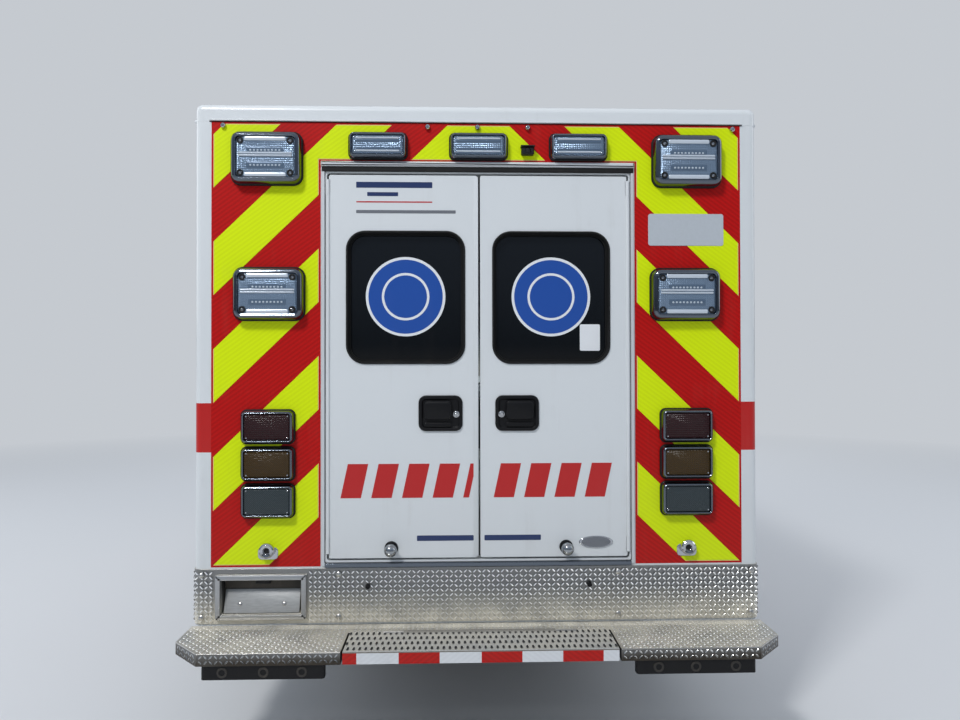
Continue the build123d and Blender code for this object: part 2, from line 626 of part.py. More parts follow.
# Front of the nose: bonnet, grille between the lamps, and a wing on each side
BONNET_HALF = 700
BONNET_LIP_Z = BELT_Z - 315
GRILLE_Z = (BONNET_LIP_Z - 322, BONNET_LIP_Z - DOOR_GAP)
LAMP_Z = (BONNET_LIP_Z - 237, BONNET_LIP_Z - 23)
LAMP_Y = Y_NOSE - 235
LAMP_T = 70
LAMP_GAP = 4
BUMPER_ROOM_Z = GRILLE_Z[0]
far = Y_TIP + 100
bonnet = skin & block((-BONNET_HALF, BONNET_HALF), (COWL_Y + DOOR_GAP, far), (BONNET_LIP_Z, ROOF_Z))
pieces["bonnet"] = bonnet.solids().sort_by(SortBy.VOLUME)[-1]

grille = skin & block((-BONNET_HALF, BONNET_HALF), (COWL_Y + 300, far), GRILLE_Z)
SLOT_PITCH = 39
SLOT_H = 24
SLOT_COUNT = 6
for i in range(SLOT_COUNT):
    low = GRILLE_Z[0] + 61 + i * SLOT_PITCH
    grille -= block((-BONNET_HALF + 28, BONNET_HALF - 28), (COWL_Y + 300, far), (low, low + SLOT_H))
tab_half = BONNET_HALF + DOOR_GAP - FIT
grille += skin & block((-tab_half, tab_half), (COWL_Y + 300, far), (GRILLE_Z[0] + 20, GRILLE_Z[0] + 60))
pieces["grille"] = grille

wing_x = (BONNET_HALF + DOOR_GAP, HALF_CAB + 20)
headlamp = (nose_outer - nose_form(LAMP_T, FIREWALL_Y[1], 0)) & block(wing_x, (LAMP_Y, far), LAMP_Z)
pieces["headlamps"] = group(headlamp, mirrored(headlamp))

wing = nose_outer - nose_room
wing &= block(wing_x, (COWL_Y, far), (0, ROOF_Z)) + block(
    (HALF_CAB - WING_T, wing_x[1]), (DOOR_Y[1], COWL_Y + 5), (0, BELT_Z)
)
wing -= block(grown(wing_x, 5), (LAMP_Y - 60, far), (0, BUMPER_ROOM_Z))
wing -= block(grown(wing_x, 5), (LAMP_Y - LAMP_GAP, far), (LAMP_Z[0] - FIT, LAMP_Z[1] + LAMP_GAP))
wing -= bar("X", (Y_FRONT_AXLE, Z_AXLE), ARCH_R, 0, HALF_CAB + 50)
wing = wing.solids().sort_by(SortBy.VOLUME)[-1]
pieces["front_wings"] = group(wing, mirrored(wing))

# Front bumper: a bowed bar that wraps the corners, on two brackets
BUMPER_Z = (GRILLE_Z[0] - 218, GRILLE_Z[0] - 8)
BUMPER_T = 42
BUMPER_HALF = HALF_CAB - 8
BUMPER_CORNER_R = 170
BUMPER_BACK_Y = Y_NOSE - 185
bumper_plan = nose_plan(BUMPER_HALF, BUMPER_BACK_Y, Y_TIP, BUMPER_CORNER_R)
outer = extrude(Pos(0, 0, BUMPER_Z[0]) * bumper_plan, amount=BUMPER_Z[1] - BUMPER_Z[0])
outer_edges = outer.edges() - outer.edges().filter_by(Axis.Z)
outer = outer.fillet(18, [e for e in outer_edges if abs(e.center().Y - BUMPER_BACK_Y) > 1])
inner = extrude(
    nose_plan(BUMPER_HALF - BUMPER_T, BUMPER_BACK_Y - 20, Y_TIP - BUMPER_T, BUMPER_CORNER_R - BUMPER_T),
    amount=ROOF_Z,
)
bumper = outer - inner
for side in SIDES:
    bumper += block(spread(side, *RAIL_X), (RAIL_Y[1] + FIT, Y_TIP - 30), (RAIL_Z[0] + 25, RAIL_Z[0] + 125))
pieces["front_bumper"] = bumper

# Cab hinges: two on the front edge of each door and one broad one under the windscreen
CAB_HINGE_ZS = (BELT_Z - 580, BELT_Z - 180)
CAB_HINGE_HALF = 60
CAB_KNUCKLE = 40
for side, hand in ((-1, "left"), (1, "right")):
    for z in CAB_HINGE_ZS:
        low, high = z - CAB_HINGE_HALF, z + CAB_HINGE_HALF
        cuts = [low, low + CAB_KNUCKLE, high - CAB_KNUCKLE, high]
        spans = [(cuts[0], cuts[1], False), (cuts[1] + FIT, cuts[2] - FIT, True), (cuts[2], cuts[3], False)]
        hinge(f"{hand}_cab_door", "front_wings", "Z", (side * HALF_CAB, DOOR_Y[1] - DOOR_GAP / 2), spans)
bonnet_pin = (COWL_Y + DOOR_GAP / 2, BONNET_BASE[1] - 5)
spans = [(-300, -180, False), (-180 + FIT, 180 - FIT, True), (180, 300, False)]
hinge("bonnet", "cab_shell", "X", bonnet_pin, spans)

# Door mirrors: a tall head on two arms from the front of each door
MIRROR_X = (HALF_CAB + 122, HALF_CAB + 292)
MIRROR_Y = (DOOR_Y[1] - 95, DOOR_Y[1] - 25)
MIRROR_Z = (BELT_Z + 10, BELT_Z + 360)
ARM_R = 13
ARM_ZS = (BELT_Z + 45, BELT_Z + 325)
ARM_Y = DOOR_Y[1] - 60
head = panel("Y", MIRROR_X, MIRROR_Z, MIRROR_Y, 45)
head = fillet(head.faces().sort_by(Axis.Y)[-1].edges(), 25)
upright_x = HALF_CAB + 42
arms = bar("Z", (upright_x, ARM_Y), ARM_R, ARM_ZS[0] - 50, ARM_ZS[1] + 13)
for z in ARM_ZS:
    arms += bar("X", (ARM_Y, z), ARM_R, upright_x, MIRROR_X[0] + 20)
foot = panel("X", (ARM_Y - 50, ARM_Y + 38), (BELT_Z - 55, BELT_Z - 8), (HALF_CAB + FIT, HALF_CAB + 20), 12)
arms += foot + bar("X", (ARM_Y, ARM_ZS[0] - 65), ARM_R, HALF_CAB + 5, upright_x + 2)
arms += bar("Z", (upright_x, ARM_Y), ARM_R, ARM_ZS[0] - 70, ARM_ZS[0])
pieces["right_mirror"] = head + arms
pieces["left_mirror"] = mirrored(pieces["right_mirror"])

# Dashboard with its steering column and the cover over the back of the engine
DASH_HALF = HALF_CAB - CAB_T - 8
COVER_HALF = 290
WHEEL_CENTRE = Vector(-600, FIREWALL_Y[0] - 515, BELT_Z - 110)
COLUMN_TILT = 35
COLUMN_DIR = Vector(0, cos(radians(COLUMN_TILT)), -sin(radians(COLUMN_TILT)))
WHEEL_R = 190
WHEEL_RIM_R = 14
# Its section, from the back at the firewall to the edge over the knees: (behind the firewall, below the belt)
DASH_SECTION = [(8, 500), (8, 90), (140, 60), (300, 75), (370, 170), (345, 260), (230, 340), (230, 500)]
dash_points = [(FIREWALL_Y[0] - behind, BELT_Z - below) for behind, below in DASH_SECTION]
dashboard = prism(side_plane, dash_points, -DASH_HALF, DASH_HALF, 14)
dashboard &= cab_form(CAB_T + DOOR_GAP, (Y_WALL, FIREWALL_Y[0]), CAB_FLOOR_Z[1])
cover = block((-COVER_HALF, COVER_HALF), (COWL_Y - 740, COWL_Y - 240), (CAB_FLOOR_Z[1], BELT_Z - 270))
dashboard += fillet(cover.edges().filter_by(Axis.Z) + cover.faces().sort_by(Axis.Z)[-1].edges(), 50)
dash_back = (FIREWALL_Y[0] - 70, FIREWALL_Y[0] - DOOR_GAP)
dashboard += block((-ARCH_IN_X, ARCH_IN_X), dash_back, (CAB_FLOOR_Z[1], BELT_Z - 500))
HUB_DEPTH = 40
column_from = WHEEL_CENTRE + COLUMN_DIR * (HUB_DEPTH + FIT)
dashboard += Plane(origin=column_from, z_dir=COLUMN_DIR) * Cylinder(34, 280, align=low_end)
pieces["dashboard"] = dashboard

wheel_plane = Plane(origin=WHEEL_CENTRE, x_dir=(1, 0, 0), z_dir=COLUMN_DIR)
steering = wheel_plane * Torus(WHEEL_R, WHEEL_RIM_R)
steering += wheel_plane * Cylinder(46, HUB_DEPTH, align=low_end)
for turn in (0, 120, 240):
    spoke = Pos(WHEEL_R / 2, 0, 8) * Box(WHEEL_R - 6, 34, 14)
    steering += wheel_plane * (Rot(0, 0, 90 + turn) * spoke)
pieces["steering_wheel"] = steering

# Cab seats: pedestal, cushion, back and headrest in one piece on each side
SEAT_X = (370, 860)
SEAT_Y = (Y_WALL + 220, Y_WALL + 700)
SEAT_Z = (CAB_FLOOR_Z[1] + 185, CAB_FLOOR_Z[1] + 315)
BACK_TOP_Z = CAB_FLOOR_Z[1] + 895


def rounded(shape, radius):
    return fillet(shape.edges(), radius)


seats = []
for side in SIDES:
    pedestal_x = spread(side, SEAT_X[0] + 60, SEAT_X[1] - 60)
    seat = block(pedestal_x, grown(SEAT_Y, -50), (CAB_FLOOR_Z[1], SEAT_Z[0] + 10))
    seat += rounded(block(spread(side, *SEAT_X), SEAT_Y, SEAT_Z), 45)
    back_l = BACK_TOP_Z - SEAT_Z[0]
    back = rounded(block((-235, 235), (-60, 60), (0, back_l)), 45)
    back += rounded(block((-130, 130), (-40, 40), (back_l - 10, back_l + 170)), 35)
    mid = side * (SEAT_X[0] + SEAT_X[1]) / 2
    seats.append(seat + Pos(mid, SEAT_Y[0] + 20, SEAT_Z[0]) * Rot(10, 0, 0) * back)
pieces["cab_seats"] = group(*seats)

# Running boards: a step under each cab door
board = block((HALF_CAB - 103, HALF_CAB + 117), (Y_WALL + 8, DOOR_Y[1] - 10), (ROCKER_Z - 35, ROCKER_Z))
board = fillet(board.edges().filter_by(Axis.Z), 25)
pieces["running_boards"] = group(board, mirrored(board))

# Patient module: floor, four walls and a roof with rounded outer corners
inner_x = HALF_W - WALL_T
inner_rear = Y_REAR + END_WALL_T
inner_front = Y_WALL - END_WALL_T
ceiling = ROOF_Z - ROOF_T
floor_bottom = FLOOR_Z - FLOOR_T
module_plan = panel("Z", (-HALF_W, HALF_W), (Y_REAR, Y_WALL), (SKIRT_Z, ceiling), CORNER_R)
roof = panel("Z", (-HALF_W, HALF_W), (Y_REAR, Y_WALL), (ceiling, ROOF_Z), CORNER_R)
pieces["module_roof"] = fillet(roof.faces().sort_by(Axis.Z)[-1].edges(), CORNER_R - 2)
for side, hand in ((-1, "left"), (1, "right")):
    reach = spread(side, inner_x, HALF_W)
    pieces[f"module_{hand}_wall"] = module_plan & block(reach, (Y_REAR, Y_WALL), (SKIRT_Z, ceiling))
across = (-inner_x, inner_x)
pieces["module_rear_wall"] = block(across, (Y_REAR, inner_rear), (SKIRT_Z, ceiling))
front_wall = block(across, (inner_front, Y_WALL), (SKIRT_Z, ceiling))
PASS_HALF = 300
PASS_TOP_Z = ROOF_Z - 750
front_wall -= block((-PASS_HALF, PASS_HALF), grown((inner_front, Y_WALL), 1), (FLOOR_Z, PASS_TOP_Z))
front_wall -= block((-SILL_X - 10, SILL_X + 10), grown((inner_front, Y_WALL), 1), (0, floor_bottom))
pieces["module_front_wall"] = front_wall
floor = block(across, (inner_rear, inner_front), (floor_bottom, FLOOR_Z))

# Lockers and their doors, in front of and behind the rear wheel wells. Columns: name, side, y range
# and height of the doorway's top
LOCKER_DEPTH = 555
LOCKER_BOTTOM_Z = SKIRT_Z + 60
WELL_R = 415
WELL_HALF = WELL_R + 25
BEHIND_WELL_Y = (Y_REAR + 460, Y_REAR_AXLE - WELL_HALF - 122)
LOCKERS = [
    ("left_front_locker", -1, (Y_WALL - 690, Y_WALL - 90), ROOF_Z - 462),
    ("left_middle_locker", -1, (Y_REAR_AXLE + WELL_HALF + 108, Y_WALL - 790), FLOOR_Z + 400),
    ("left_rear_locker", -1, BEHIND_WELL_Y, ROOF_Z - 762),
    ("right_front_locker", 1, (Y_WALL - 590, Y_WALL - 90), ROOF_Z - 462),
    ("right_rear_locker", 1, BEHIND_WELL_Y, FLOOR_Z + 770),
]
HINGE_TRIM = 40


def side_door(name, side, y, z):
    """Cuts a doorway in a side wall, and makes the door on a long hinge down its front edge."""
    wall = "module_left_wall" if side < 0 else "module_right_wall"
    pieces[wall] -= panel("X", y, z, spread(side, inner_x - 1, HALF_W + 1), DOOR_R)
    outline = grown(y, -DOOR_GAP), grown(z, -DOOR_GAP)
    pieces[name] = panel("X", *outline, spread(side, HALF_W - DOOR_T, HALF_W), DOOR_R - DOOR_GAP)
    pin = (side * HALF_W, y[1] - DOOR_GAP / 2)
    hinge(name, wall, "Z", pin, knuckles(z[0] + HINGE_TRIM, z[1] - HINGE_TRIM))


boxes = []
for name, side, y, top in LOCKERS:
    z = (LOCKER_BOTTOM_Z, top)
    side_door(f"{name}_door", side, y, z)
    outside = block(spread(side, HALF_W - LOCKER_DEPTH, inner_x), grown(y, LINER_T), grown(z, LINER_T))
    inside = block(spread(side, HALF_W - LOCKER_DEPTH + LINER_T, inner_x + 1), y, z)
    boxes.append(outside - inside)
    floor -= outside

# Side entry: a door that reaches down past the floor, over a well with a step
ENTRY_SETBACK = 690
ENTRY_W = 830
ENTRY_Z = (SKIRT_Z + 30, ROOF_Z - 222)
WELL_DEPTH = 300
WELL_Z = ENTRY_Z[0] - 3
entry_y = (Y_WALL - ENTRY_SETBACK - ENTRY_W, Y_WALL - ENTRY_SETBACK)
side_door("side_door", 1, entry_y, ENTRY_Z)
well = block((inner_x - WELL_DEPTH, inner_x), grown(entry_y, LINER_T), (WELL_Z - LINER_T, FLOOR_Z))
floor -= well
well -= block((inner_x - WELL_DEPTH + LINER_T, inner_x + 1), entry_y, (WELL_Z, FLOOR_Z + 1))
boxes.append(well)

# Side door window and its pane
WINDOW_T = (HALF_W - 32, HALF_W - 32 + GLASS_T)
ENTRY_WINDOW_Y = grown(entry_y, -190)
ENTRY_WINDOW_Z = (ENTRY_Z[1] - 820, ENTRY_Z[1] - 300)
WINDOW_R = 80
pieces["side_door"] -= panel("X", ENTRY_WINDOW_Y, ENTRY_WINDOW_Z, (HALF_W - 90, HALF_W + 10), WINDOW_R)
pieces["side_door_window"] = panel(
    "X", grown(ENTRY_WINDOW_Y, -FIT), grown(ENTRY_WINDOW_Z, -FIT), WINDOW_T, WINDOW_R - FIT
)

# Rear doorway and its two doors, each on a long hinge down its outer edge
REAR_DOORWAY_HALF = 620
REAR_DOORWAY_Z = (FLOOR_Z + 8, ROOF_Z - 282)
MEETING_GAP = 12
REAR_WINDOW_X = (60, 538)
REAR_WINDOW_Z = (REAR_DOORWAY_Z[1] - 778, REAR_DOORWAY_Z[1] - 241)
rear_hinge_x = REAR_DOORWAY_HALF - DOOR_GAP / 2
pieces["module_rear_wall"] -= panel(
    "Y", (-REAR_DOORWAY_HALF, REAR_DOORWAY_HALF), REAR_DOORWAY_Z, grown((Y_REAR, inner_rear), 1), 12
)
leaf_z = grown(REAR_DOORWAY_Z, -DOOR_GAP)
pane_depth = (Y_REAR + 26, Y_REAR + 26 + GLASS_T)
for side, hand in ((-1, "left"), (1, "right")):
    leaf_x = spread(side, MEETING_GAP / 2, REAR_DOORWAY_HALF - DOOR_GAP)
    window_x = spread(side, *REAR_WINDOW_X)
    leaf = panel("Y", leaf_x, leaf_z, (Y_REAR, Y_REAR + DOOR_T), 8)
    leaf -= panel("Y", window_x, REAR_WINDOW_Z, grown((Y_REAR, Y_REAR + DOOR_T), 1), WINDOW_R)
    pieces[f"{hand}_rear_door"] = leaf
    pieces[f"{hand}_rear_window"] = panel(
        "Y", grown(window_x, -FIT), grown(REAR_WINDOW_Z, -FIT), pane_depth, WINDOW_R - FIT
    )
    spans = knuckles(leaf_z[0] + 20, leaf_z[1] - 20)
    hinge(f"{hand}_rear_door", "module_rear_wall", "Z", (side * rear_hinge_x, Y_REAR), spans)

# Rear wheel wells: a box over each pair of wheels, hollowed round them, with a mud flap behind
# and a trim ring outside
WELL_BOX_X = (560, inner_x)
WELL_BOX_Z = (SKIRT_Z, FLOOR_Z + 12)
TRIM_W = 42
TRIM_T = 14
FLAP_T = 8
FLAP_Z = 190
wells = []
for side, wall in ((-1, "module_left_wall"), (1, "module_right_wall")):
    box_y = grown((Y_REAR_AXLE,) * 2, WELL_HALF)
    arch = bar("X", (Y_REAR_AXLE, Z_AXLE), WELL_R, *spread(side, WELL_BOX_X[0] + LINER_T, HALF_W + 40))
    solid_box = block(spread(side, *WELL_BOX_X), box_y, WELL_BOX_Z)
    floor -= solid_box
    flap = block(spread(side, 622, inner_x - 4), (box_y[0], box_y[0] + FLAP_T), (FLAP_Z, SKIRT_Z + 5))
    wells.append(solid_box - arch + flap)
    pieces[wall] -= arch
    ring = bar("X", (Y_REAR_AXLE, Z_AXLE), WELL_R + TRIM_W, *spread(side, HALF_W, HALF_W + TRIM_T))
    ring &= block((-MODULE_W, MODULE_W), (Y_BACK, Y_TIP), (SKIRT_Z, ROOF_Z))
    wells.append(ring - arch)
pieces["wheel_wells"] = group(*wells)
pieces["module_floor"] = floor

# Squad bench down the kerb side: a box from the side door to the rear locker, and its cushion
BENCH_X = (590, inner_x)
BENCH_Y = (BEHIND_WELL_Y[1] + 2 * LINER_T, entry_y[0] - LINER_T - 5)
BENCH_Z = (FLOOR_Z + 14, 1180)
CUSHION_T = 90
boxes.append(block(BENCH_X, BENCH_Y, (FLOOR_Z + 13, BENCH_Z[1])))
pieces["lockers"] = group(*boxes)
pad = block(grown(BENCH_X, -4), grown(BENCH_Y, -5), (BENCH_Z[1] + FIT, BENCH_Z[1] + CUSHION_T))
pieces["bench_cushion"] = fillet(pad.edges().filter_by(Axis.Z) + pad.faces().sort_by(Axis.Z)[-1].edges(), 30)

# Kick plate: tread plate over the bottom of the rear wall, wrapped round both corners, with a
# framed recess for the number plate on the left
KICK_T = 4
KICK_Z = (SKIRT_Z + 8, SKIRT_Z + 228)
KICK_WRAP = 65
PLATE_X = (114 - HALF_W, 434 - HALF_W)
PLATE_Z = (KICK_Z[0] + 41, KICK_Z[0] + 176)
PLATE_DEPTH = 46
PLATE_FRAME_W = 22
PLATE_FRAME_T = 8
PLATE_BOLT_R = 3.5
PLATE_BOLT_X = 177.8
PLATE_BOLT_Z = 120.65
kick = panel(
    "Z", (-HALF_W - KICK_T, HALF_W + KICK_T), (Y_REAR - KICK_T, Y_WALL), KICK_Z, CORNER_R + KICK_T
)
kick &= block((-MODULE_W, MODULE_W), (Y_BACK, Y_REAR + KICK_WRAP), (0, ROOF_Z))
kick -= module_plan
plate_mid = (PLATE_X[0] + PLATE_X[1]) / 2
tray_y = (Y_REAR - KICK_T, Y_REAR + PLATE_DEPTH)
frame_y = (tray_y[0] - PLATE_FRAME_T, tray_y[0])
kick += block(grown(PLATE_X, PLATE_FRAME_W), frame_y, grown(PLATE_Z, PLATE_FRAME_W))
kick += block(grown(PLATE_X, KICK_T), tray_y, grown(PLATE_Z, KICK_T))
kick -= block(PLATE_X, (Y_BACK, tray_y[1] - KICK_T), PLATE_Z)
for sign in SIDES:
    for rise in SIDES:
        at = (plate_mid + sign * PLATE_BOLT_X / 2, sum(PLATE_Z) / 2 + rise * PLATE_BOLT_Z / 2)
        kick -= bar("Y", at, PLATE_BOLT_R, Y_BACK, tray_y[1] + 1)
pieces["kick_plate"] = kick
pocket = grown(PLATE_X, KICK_T + FIT), (Y_REAR - 1, tray_y[1] + FIT), grown(PLATE_Z, KICK_T + FIT)
pieces["module_rear_wall"] -= block(*pocket)

# Rear bumper: a fixed strip along the body with a tread-plate block at each end, on a beam and
# two brackets under the rails. The grating between the blocks folds up
BUMPER_TOP_Z = SKIRT_Z
LIP_H = 45
STRIP_DEPTH = 100
FOLD_HALF = 511
CHAMFER_FROM = 180
STEP_HALF = HALF_W + 5
CHAMFER_X = STEP_HALF - 118
strip_y = Y_REAR - STRIP_DEPTH
fixed_edge = FOLD_HALF + DOOR_GAP
half_plan = [
    (0, Y_REAR - KICK_T - FIT),
    (STEP_HALF, Y_REAR - KICK_T - FIT),
    (STEP_HALF, Y_REAR - CHAMFER_FROM),
    (CHAMFER_X, Y_BACK),
    (fixed_edge, Y_BACK),
    (fixed_edge, strip_y),
    (0, strip_y),
]
half_bumper = prism(Plane.XY, half_plan, BUMPER_TOP_Z - LIP_H, BUMPER_TOP_Z)
bumper_rear = half_bumper + mirrored(half_bumper)
beam_z = (BUMPER_TOP_Z - 85, BUMPER_TOP_Z - LIP_H)
bumper_rear += block((143 - HALF_W, HALF_W - 143), (Y_REAR - 90, Y_REAR - 30), beam_z)
for side in SIDES:
    bumper_rear += block(spread(side, *RAIL_X), (Y_REAR - 90, Y_REAR + 220), (RAIL_Z[0] - 20, RAIL_Z[0]))
pieces["rear_bumper"] = bumper_rear

# Folding step: a frame with long bars, hinged on the strip at its front edge
STEP_BARS = 4
STEP_EDGE = 12
BAR_W = 8
step_y = (Y_BACK, strip_y - DOOR_GAP)
step = block((-FOLD_HALF, FOLD_HALF), step_y, (BUMPER_TOP_Z - LIP_H + 2, BUMPER_TOP_Z))
room = step_y[1] - step_y[0] - 2 * STEP_EDGE
slot_w = (room - (STEP_BARS - 1) * BAR_W) / STEP_BARS
for i in range(STEP_BARS):
    low = step_y[0] + STEP_EDGE + i * (slot_w + BAR_W)
    step -= block((STEP_EDGE - FOLD_HALF, FOLD_HALF - STEP_EDGE), (low, low + slot_w), (0, ROOF_Z))
pieces["folding_step"] = step
spans = [(-380, -300, False), (-300 + FIT, 300 - FIT, True), (300, 380, False)]
hinge("folding_step", "rear_bumper", "X", (strip_y - DOOR_GAP / 2, BUMPER_TOP_Z), spans)

# Dock rubbers under the ends of the rear bumper
RUBBER_X = (578, 1028)
RUBBER_Y = (Y_BACK + 8, Y_BACK + 50)
RUBBER_Z = (BUMPER_TOP_Z - 98, BUMPER_TOP_Z - LIP_H - FIT)
rubber = panel("Z", RUBBER_X, RUBBER_Y, RUBBER_Z, 12)
pieces["dock_rubbers"] = group(rubber, mirrored(rubber))

# Warning, tail and scene lamps: a size of case each, as width, height and depth
LAMP_R = 22
LAMP_BEVEL = 10
CORNER_CASE = (284, 212, 46)
TOP_CASE = (234, 106, 40)
TAIL_CASE = (212, 134, 36)
SCENE_CASE = (234, 140, 40)
CORNER_X = HALF_W - 295
MIDDLE_X = HALF_W - 304
TAIL_X = HALF_W - 300
TOP_XS = (-411, 0, 411)
TAIL_ZS = (SKIRT_Z + 804, SKIRT_Z + 654, SKIRT_Z + 504)

# Places: (x, z) from the middle at the rear and front, and (y behind the front, z) on the sides
REAR_LAMPS = [
    (CORNER_CASE, [(s * CORNER_X, ROOF_Z - 228) for s in SIDES]),
    (CORNER_CASE, [(s * MIDDLE_X, ROOF_Z - 779) for s in SIDES]),
    (TOP_CASE, [(x, ROOF_Z - 173) for x in TOP_XS]),
    (TAIL_CASE, [(s * TAIL_X, z) for s in SIDES for z in TAIL_ZS]),
]
FRONT_LAMPS = [
    (CORNER_CASE, [(s * CORNER_X, ROOF_Z - 250) for s in SIDES]),
    (TOP_CASE, [(x, ROOF_Z - 210) for x in TOP_XS]),
]
SIDE_LAMPS = [
    (CORNER_CASE, [(260, ROOF_Z - 230), (MODULE_L - 260, ROOF_Z - 230)]),
    (SCENE_CASE, [(MODULE_L - 2420, ROOF_Z - 170), (MODULE_L - 1220, ROOF_Z - 170)]),
]


def lamp(axis, a, b, size, face, out):
    """A lamp on a face: a is its middle on the horizontal axis, b its height, out is 1 or -1."""
    width, height, depth = size
    span = (face, face + out * depth) if out > 0 else (face - depth, face)
    body = panel(axis, grown((a, a), width / 2), grown((b, b), height / 2), span, LAMP_R)
    face_axis = Axis.X if axis == "X" else Axis.Y
    front = body.faces().sort_by(face_axis)[-1 if out > 0 else 0]
    return chamfer(front.edges(), LAMP_BEVEL)


lamps = []
for case, places in REAR_LAMPS:
    lamps += [lamp("Y", x, z, case, Y_REAR, -1) for x, z in places]
for case, places in FRONT_LAMPS:
    lamps += [lamp("Y", x, z, case, Y_WALL, 1) for x, z in places]
for case, places in SIDE_LAMPS:
    for side in SIDES:
        lamps += [lamp("X", Y_WALL - y, z, case, side * HALF_W, side) for y, z in places]
pieces["module_lamps"] = group(*lamps)

for name, shape in pieces.items():
    solids = shape.solids()
    export_step(solids[0] if len(solids) == 1 else Compound(children=list(solids)), f"parts/{name}.step")
print(len(pieces), "nodes")
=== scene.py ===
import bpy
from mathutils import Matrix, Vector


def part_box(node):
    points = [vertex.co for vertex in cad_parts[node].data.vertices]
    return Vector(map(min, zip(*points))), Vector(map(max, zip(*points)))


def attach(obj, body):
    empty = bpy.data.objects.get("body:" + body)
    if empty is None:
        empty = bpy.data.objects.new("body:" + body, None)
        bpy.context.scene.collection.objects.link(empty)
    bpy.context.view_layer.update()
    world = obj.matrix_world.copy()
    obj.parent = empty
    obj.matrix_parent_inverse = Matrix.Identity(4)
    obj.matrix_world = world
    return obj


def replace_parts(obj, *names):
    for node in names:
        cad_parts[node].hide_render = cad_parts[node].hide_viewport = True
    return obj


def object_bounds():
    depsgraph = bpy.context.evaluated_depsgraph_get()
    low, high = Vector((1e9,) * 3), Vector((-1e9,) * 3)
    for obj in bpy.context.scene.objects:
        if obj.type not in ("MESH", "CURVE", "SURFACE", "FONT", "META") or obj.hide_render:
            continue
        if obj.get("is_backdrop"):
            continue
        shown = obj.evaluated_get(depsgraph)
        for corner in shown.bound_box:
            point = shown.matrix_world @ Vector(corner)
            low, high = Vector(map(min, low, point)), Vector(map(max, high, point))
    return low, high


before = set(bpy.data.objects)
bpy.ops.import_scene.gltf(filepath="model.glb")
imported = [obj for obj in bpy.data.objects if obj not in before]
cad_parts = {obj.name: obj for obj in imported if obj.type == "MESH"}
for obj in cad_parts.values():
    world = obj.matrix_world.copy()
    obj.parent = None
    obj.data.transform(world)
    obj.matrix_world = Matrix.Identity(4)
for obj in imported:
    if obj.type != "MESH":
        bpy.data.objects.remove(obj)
cad_box = [[float(value) for value in corner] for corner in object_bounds()]

from math import cos, pi, radians, sin

import bmesh
import bpy
from mathutils import Matrix, Vector

# A box-bodied ambulance seen from behind: metres, +X kerb side, +Y forward, +Z up.

# Camera. It stands where the photographer stood, a little left of the middle and turned slightly
# to the right. Its place was worked out from the corners of the body and of the step.
PHOTO_W = 960
FOCAL_PX = 749
SENSOR_W = 36
CAMERA_AT = (-0.089, -6.168, 1.586)
CAMERA_TURN = (radians(90.52), radians(0.09), radians(-1.75))


def in_scene(name, data):
    """A new object that is part of the scene."""
    made = bpy.data.objects.new(name, data)
    bpy.context.scene.collection.objects.link(made)
    return made


camera = in_scene("camera", bpy.data.cameras.new("camera"))
camera.data.sensor_width = SENSOR_W
camera.data.lens = FOCAL_PX * SENSOR_W / PHOTO_W
camera.data.clip_end = 500
camera.location = CAMERA_AT
camera.rotation_euler = CAMERA_TURN
bpy.context.scene.camera = camera

# Studio light. One high key lamp stands to the left behind the photographer, with weaker ones on
# the other sides. Reflections see a bright top over a dark skyline, and the camera sees a pale wall.
AREA_LIGHTS = [
    ("key", (-4.0, -9.5, 9.5), 1.6, 680),
    ("left_fill", (-9.0, 0.0, 5.0), 6.0, 170),
    ("right_fill", (9.0, -2.0, 5.0), 6.0, 180),
    ("front_fill", (2.0, 11.0, 6.0), 6.0, 330),
]
for name, place, size, power in AREA_LIGHTS:
    light = in_scene(name, bpy.data.lights.new(name, "AREA"))
    light.data.size = size
    light.data.energy = power
    light.location = place
    light.rotation_euler = (Vector((0, 0, 1.2)) - Vector(place)).to_track_quat("-Z", "Y").to_euler()


def wire(tree, kind, inputs=None, **settings):
    """A node of a material or of the sky. Each input takes a value or another node's socket."""
    node = tree.nodes.new("ShaderNode" + kind)
    for key, value in settings.items():
        setattr(node, key, value)
    for key, value in (inputs or {}).items():
        if isinstance(value, bpy.types.NodeSocket):
            tree.links.new(value, node.inputs[key])
        else:
            node.inputs[key].default_value = value
    return node


def calc(tree, operation, a, b=0.0, c=0.0, clamp=False):
    return wire(tree, "Math", {0: a, 1: b, 2: c}, operation=operation, use_clamp=clamp).outputs[0]


def blended(tree, amount, a, b):
    return wire(tree, "Mix", {0: amount, 6: a, 7: b}, data_type="RGBA").outputs[2]


BACKDROP = (0.56, 0.59, 0.63, 1)
sky = bpy.data.worlds.new("studio")
sky.use_nodes = True
tree = sky.node_tree
upward = wire(tree, "SeparateXYZ", {0: wire(tree, "TexCoord").outputs["Generated"]}).outputs[2]
shine = wire(tree, "ValToRGB", {0: upward})
bands = [
    (0.00, (0.24, 0.23, 0.22)), (0.03, (0.07, 0.08, 0.09)), (0.12, (0.16, 0.19, 0.24)),
    (0.40, (0.30, 0.37, 0.47)), (1.00, (0.56, 0.59, 0.64)),
]
shine.color_ramp.elements[0].color = (*bands[0][1], 1)
shine.color_ramp.elements[1].color = (*bands[-1][1], 1)
for height, colour in bands[1:-1]:
    shine.color_ramp.elements.new(height).color = (*colour, 1)
seen = wire(tree, "LightPath").outputs["Is Camera Ray"]
background = tree.nodes["Background"]
tree.links.new(blended(tree, seen, shine.outputs[0], BACKDROP), background.inputs["Color"])
background.inputs["Strength"].default_value = 1.0
bpy.context.scene.world = sky
bpy.context.scene.view_settings.view_transform = "Standard"

